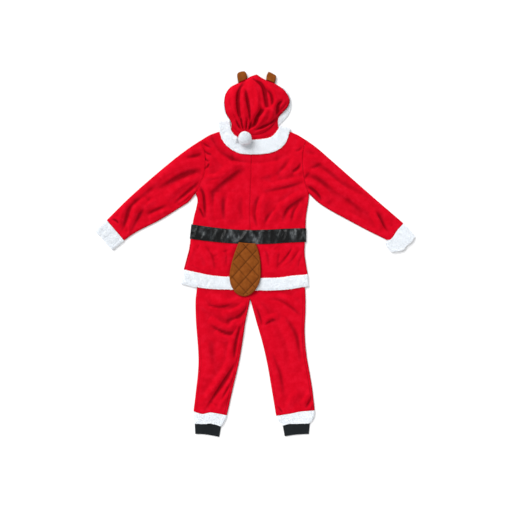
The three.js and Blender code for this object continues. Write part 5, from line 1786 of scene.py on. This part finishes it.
@dataclass
class Hood:
    """Hood in two halves with plush round its face opening, under the cap."""

    rest: Unrest = Unrest(31)

    def top(self, places: Array) -> Array:
        """Upper face: it climbs from the neck seam onto the trim under it."""
        neck = distance(places, [LINES["neckLeft"], LINES["neckRight"]])
        return mix(bodice_top(places), HOOD_FOOT + FLEECE + HOOD_RISE, smoothstep(0, NECK_RISE, neck))

    def build(self, room: Workroom) -> None:
        """Makes the halves and their trim."""
        rims = tuple(LINES[part + side.value] for part in ("hoodSide", "hoodTop") for side in Side)
        lift = lambda places: 0.25 * self.rest.at(places, 24)
        lay = Lay(rims, floor, self.top, middle=level(HOOD_FOOT), lift=lift)
        seam, gap = LINES["hoodSeam"], 0.4
        for side in Side:
            name, left = side.value, side is Side.LEFT
            middle = seam.moved(side.sign * SEAM / 2, 0)
            neck, crown = LINES["neck" + name].moved(0, gap), LINES["hoodTop" + name]
            if left:
                half = Patch(LINES["hoodSide" + name], middle, neck, crown)
            else:
                half = Patch(middle, LINES["hoodSide" + name], neck.reversed(), crown.reversed())
            layer = Layer(Cloth.FLEECE, half, lay, (eased(44), eased(70)), upper=True)
            layer.handed(room, f"hood_{side.low}_cloth", f"hood_{side.low}")
            face = (LINES[part + name] for part in ("faceInner", "faceOuter"))
            inner, outer = (line.moved(side.sign * SEAM / 2, 0) for line in face)
            strip = Patch(inner, outer, *straight_ends(inner, outer))
            strip_lay = Lay((inner, outer), floor, level(PLUSH - 0.6), radius=9, parting=1.0)
            white = room.of(Cloth.PLUSH)
            piece = pad(f"hood_trim_{side.low}_plush", strip, strip_lay, (eased(24), eased(90)), white)
            rim = piece.surface[:, -9:]
            piece.extras.append(room.fur(f"hood_trim_{side.low}_pile", rim, 150000, 2.8))
            room.keep_sheet(piece, f"hood_trim_{side.low}", Cloth.PLUSH, strip)


@dataclass
class Cap:
    """Puffy cap flopped over the hood and gathered to its bobble."""

    rise: float = 36.0
    middle: Pair = (10.0, 705.0)
    half_span: float = 150.0
    droop: float = 0.25
    gathered: float = 0.42
    fold_scale: float = 1.05
    clearance: float = 2.5
    gather_low: float = 570.0
    gather_high: float = 690.0
    rest: Unrest = Unrest(37)
    bobble_radii: Triple = (28.0, 30.0, 25.0)
    bobble_place: Pair = (-47.0, 549.0)
    bobble_rest: float = 13.3

    def dome(self, places: Array) -> Array:
        """Height of the cap without its folds."""
        spread_out = np.linalg.norm(places - self.middle, axis=1) / self.half_span
        gather = mix(self.gathered, 1, smoothstep(self.gather_low, self.gather_high, places[:, 1]))
        return CAP_FOOT + self.rise * (1 - self.droop * spread_out**2) * gather

    def folded(self, places: Array) -> Array:
        """Folds of the cap, which stop above the hood."""
        rough = 1.6 * self.rest.at(places, 44, 60) + 0.6 * self.rest.at(places, 20, 34)
        lowest = CAP_FOOT + self.clearance - self.dome(places)
        return np.maximum(self.fold_scale * fold_height(CAP_FOLDS, places) + rough, lowest)

    def build(self, room: Workroom) -> None:
        """Makes the cap and the bobble."""
        patch = Patch(LINES["capLeft"], LINES["capRight"], LINES["capFoot"], LINES["capTop"])
        rims = (patch.left, patch.right, patch.start, patch.end)
        lay = Lay(rims, floor, self.dome, radius=52, middle=level(CAP_FOOT), lift=self.folded)
        cap = Layer(Cloth.FLEECE, patch, lay, (eased(120), eased(120)), upper=True)
        cap.handed(room, "cap_cloth", "cap")
        self.build_bobble(room)

    def build_bobble(self, room: Workroom) -> None:
        """Makes the round bobble of plush."""
        rows, columns = 40, 64
        lift = np.linspace(-math.pi / 2 + 0.02, math.pi / 2 - 0.02, rows)[:, None]
        turn = np.linspace(0, 2 * math.pi, columns, endpoint=False)[None]
        ball = np.stack([np.cos(lift) * np.cos(turn), np.cos(lift) * np.sin(turn), np.sin(lift) + 0 * turn], -1)
        rough = self.rest.at(ball[..., :2].reshape(-1, 2) * 30 + ball[..., 2:].reshape(-1, 1) * 17, 9)
        ball = ball * (1 + 0.035 * rough.reshape(rows, columns, 1)) * self.bobble_radii
        ball = ball + (*self.bobble_place, self.bobble_rest + self.bobble_radii[2] + 1)
        r, c = np.meshgrid(np.arange(rows - 1), np.arange(columns), indexing="ij")
        after = (c + 1) % columns
        here, above = r * columns, (r + 1) * columns
        quads = np.stack([here + c, here + after, above + after, above + c], -1)
        ends = [list(range(columns))[::-1], list(range((rows - 1) * columns, rows * columns))]
        faces = quads.reshape(-1, 4).tolist() + ends
        body = mesh_object("bobble_plush", ball, faces, room.of(Cloth.PLUSH))
        closed = np.concatenate([ball, ball[:, :1]], axis=1)
        piece = Piece(body, ball, [room.fur("bobble_pile", closed, 330000, 4.6, 1.9, 0.8)])
        room.keep(piece, "bobble", Cloth.PLUSH)


@dataclass
class Antler:
    """Short padded stub of brown fleece on the hood."""

    side: Side
    thickness: float = 18.0
    rest: Unrest = Unrest(41)

    def build(self, room: Workroom) -> None:
        """Makes the stub."""
        left = self.side is Side.LEFT
        low, high, gap = (-80, -36, 1.6) if left else (54, 96, 1.0)
        crown = LINES["hoodTopLeft"] if left else LINES["hoodTopRight"].reversed()
        root = crown.stretch(crown.share_at_x(low), crown.share_at_x(high)).moved(0, gap)
        outer, inner = (LINES[f"antler{part}{self.side.value}"] for part in ("Outer", "Inner"))
        tip = LINES["antlerTip" + self.side.value]
        patch = Patch(outer if left else inner, inner if left else outer, root, tip)
        lift = lambda places: 1.2 * self.rest.at(places, 13) - 1.5
        lay = Lay((outer, inner, tip), floor, level(self.thickness), radius=11, lift=lift, parting=1.2)
        piece = pad(f"antler_{self.side.low}_pad", patch, lay, (eased(22), eased(26)), room.of(Cloth.BROWN))
        room.keep(piece, f"antler_{self.side.low}", Cloth.BROWN)


@dataclass
class Tail:
    """Flat padded tail, quilted in diamonds, with a rolled border."""

    pitch: float = 48.0
    angle: float = 48.0
    origin: Pair = (-43.0, -38.0)
    deep: float = 4.4
    shallow: float = 3.8
    shade_width: float = 1.9
    border: float = 9.0
    edge_height: float = 6.0
    rest: Unrest = Unrest(43)

    def rows(self, places: Array) -> tuple[Array, Array]:
        """How far places are across the two families of quilting lines, in pitches."""
        a = math.radians(self.angle)
        across = (places[:, 0] - self.origin[0]) * math.sin(a)
        up = (places[:, 1] - self.origin[1]) * math.cos(a)
        return (across - up) / self.pitch, (across + up) / self.pitch

    def from_edge(self, places: Array) -> Array:
        """Distance from the outline."""
        return distance(places, [LINES[name] for name in TAIL_EDGES])

    def quilt(self, places: Array) -> Array:
        """The padding rises in pillows between the stitched lines, and dips once more inside the border."""
        strong, fine = (np.abs(x - np.round(x)) * self.pitch for x in self.rows(places))
        dip = lambda gap, depth, width: depth * np.exp(-((gap / width) ** 0.9))
        pressed = np.maximum(dip(strong, self.deep, 6.0), dip(fine, self.shallow, 5.0))
        edge = self.from_edge(places)
        rim = 2.2 * np.exp(-(((edge - self.border) / 2.2) ** 2))
        return -np.maximum(pressed * smoothstep(2, self.border, edge), rim) + 0.5 * self.rest.at(places, 18)

    def lines(self) -> list[Array]:
        """Plan paths of the quilting stitches, inside the border."""
        a = math.radians(self.angle)
        rims = [LINES[name] for name in TAIL_EDGES]
        paths = []
        for lean in (1, -1):
            way = np.array([math.cos(a), lean * math.sin(a)])
            step = np.array([1 / math.sin(a), 0]) * self.pitch
            for k in range(-5, 6):
                path = np.array(self.origin) + k * step + np.linspace(-260, 260, 521)[:, None] * way
                keep = (from_tail(path) < -3) & (distance(path, rims) > self.border - 1)
                if keep.sum() > 12:
                    paths.append(path[keep])
        return paths

    def build(self, room: Workroom) -> None:
        """Makes the tail and its stitches, with painted shade along the quilting lines."""
        tail = Patch(LINES["tailSideLeft"], LINES["tailSideRight"], LINES["tailTop"], LINES["tailFoot"])
        lay = Lay(
            (tail.left, tail.right, tail.start, tail.end),
            tail_low,
            lambda places: tail_low(places) + TAIL_THICKNESS,
            middle=lambda places: tail_low(places) + self.edge_height,
            lift=self.quilt,
            parting=2.0,
        )
        piece = pad("tail_pad", tail, lay, (eased(90), eased(150)), room.of(Cloth.BROWN))
        places = piece.surface[..., :2].reshape(-1, 2)
        # Painted shade: the colour is darkened along the quilting lines, through the crease shade attribute.
        strong, fine = (np.abs(x - np.round(x)) * self.pitch for x in self.rows(places))
        pressed = np.exp(-((np.minimum(strong, 1.15 * fine) / self.shade_width) ** 1.2))
        pressed = pressed * smoothstep(2, self.border, self.from_edge(places))
        depth = np.concatenate([pressed, np.zeros(len(places))])
        piece.body.data.attributes["painted_crease_shade"].data.foreach_set("value", depth.astype(np.float32))
        for i, path in enumerate(self.lines()):
            row = room.sew(f"tail_stitches_{i}", on_top(lay, path[::3], 0.3), Cloth.BROWN, 3.6, 0.5)
            piece.extras.append(row)
        room.keep(piece, "tail", Cloth.BROWN)


@dataclass
class Studio:
    """Pale floor, soft light from the upper left, and a camera straight above."""

    aim: Pair = (0.005, -0.0091)
    height: float = 4.0
    field_width: float = 2.458
    sensor: float = 36.0
    floor_half: float = 6.0
    sun: float = 3.0
    sun_spread: float = 40.0
    sun_from: Triple = (-0.9, 1.05, 1.35)
    ambient: float = 0.47
    fill: float = 0.45
    fill_spread: float = 70.0
    fill_from: Triple = (0.7, -0.8, 1.5)

    def camera(self) -> None:
        """Makes the camera."""
        data = bpy.data.cameras.new("camera")
        data.sensor_width = self.sensor
        data.lens = self.sensor * self.height / self.field_width
        data.clip_end = 50
        camera = placed("camera", data)
        camera.location = (*self.aim, self.height)
        bpy.context.scene.camera = camera

    def light(self) -> None:
        """Makes the light."""
        suns = (
            ("key", self.sun, self.sun_spread, self.sun_from),
            ("fill", self.fill, self.fill_spread, self.fill_from),
        )
        for name, energy, spread_of, way in suns:
            data = bpy.data.lights.new(name, "SUN")
            data.energy, data.angle = energy, math.radians(spread_of)
            placed(name, data).rotation_euler = Vector(way).to_track_quat("Z", "Y").to_euler()
        world = bpy.data.worlds.new("studio")
        world.use_nodes = True
        background = world.node_tree.nodes["Background"]
        background.inputs["Color"].default_value = (1, 1, 1, 1)
        background.inputs["Strength"].default_value = self.ambient
        bpy.context.scene.world = world
        bpy.context.scene.view_settings.view_transform = "Standard"

    def ground(self) -> None:
        """Makes the floor."""
        s = self.floor_half / MM
        corners = [(-s, -s, -0.3), (s, -s, -0.3), (s, s, -0.3), (-s, s, -0.3)]
        mesh_object("floor", np.array(corners), [(0, 1, 2, 3)], FloorFinish().build())


def main() -> None:
    """Builds the suit piece by piece."""
    logging.basicConfig(level=logging.INFO, format="%(message)s")
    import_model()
    studio = Studio()
    studio.camera()
    studio.light()
    studio.ground()
    room = Workroom(Finishes(), stitch_group(), pile_group())
    Bodice().build(room)
    for side in Side:
        Sleeve(side).build(room)
        Leg(side).build(room)
        Antler(side).build(room)
    Belt().build(room)
    Skirt().build(room)
    Collar().build(room)
    Hood().build(room)
    Cap().build(room)
    Tail().build(room)


if __name__ == "__main__":
    main()
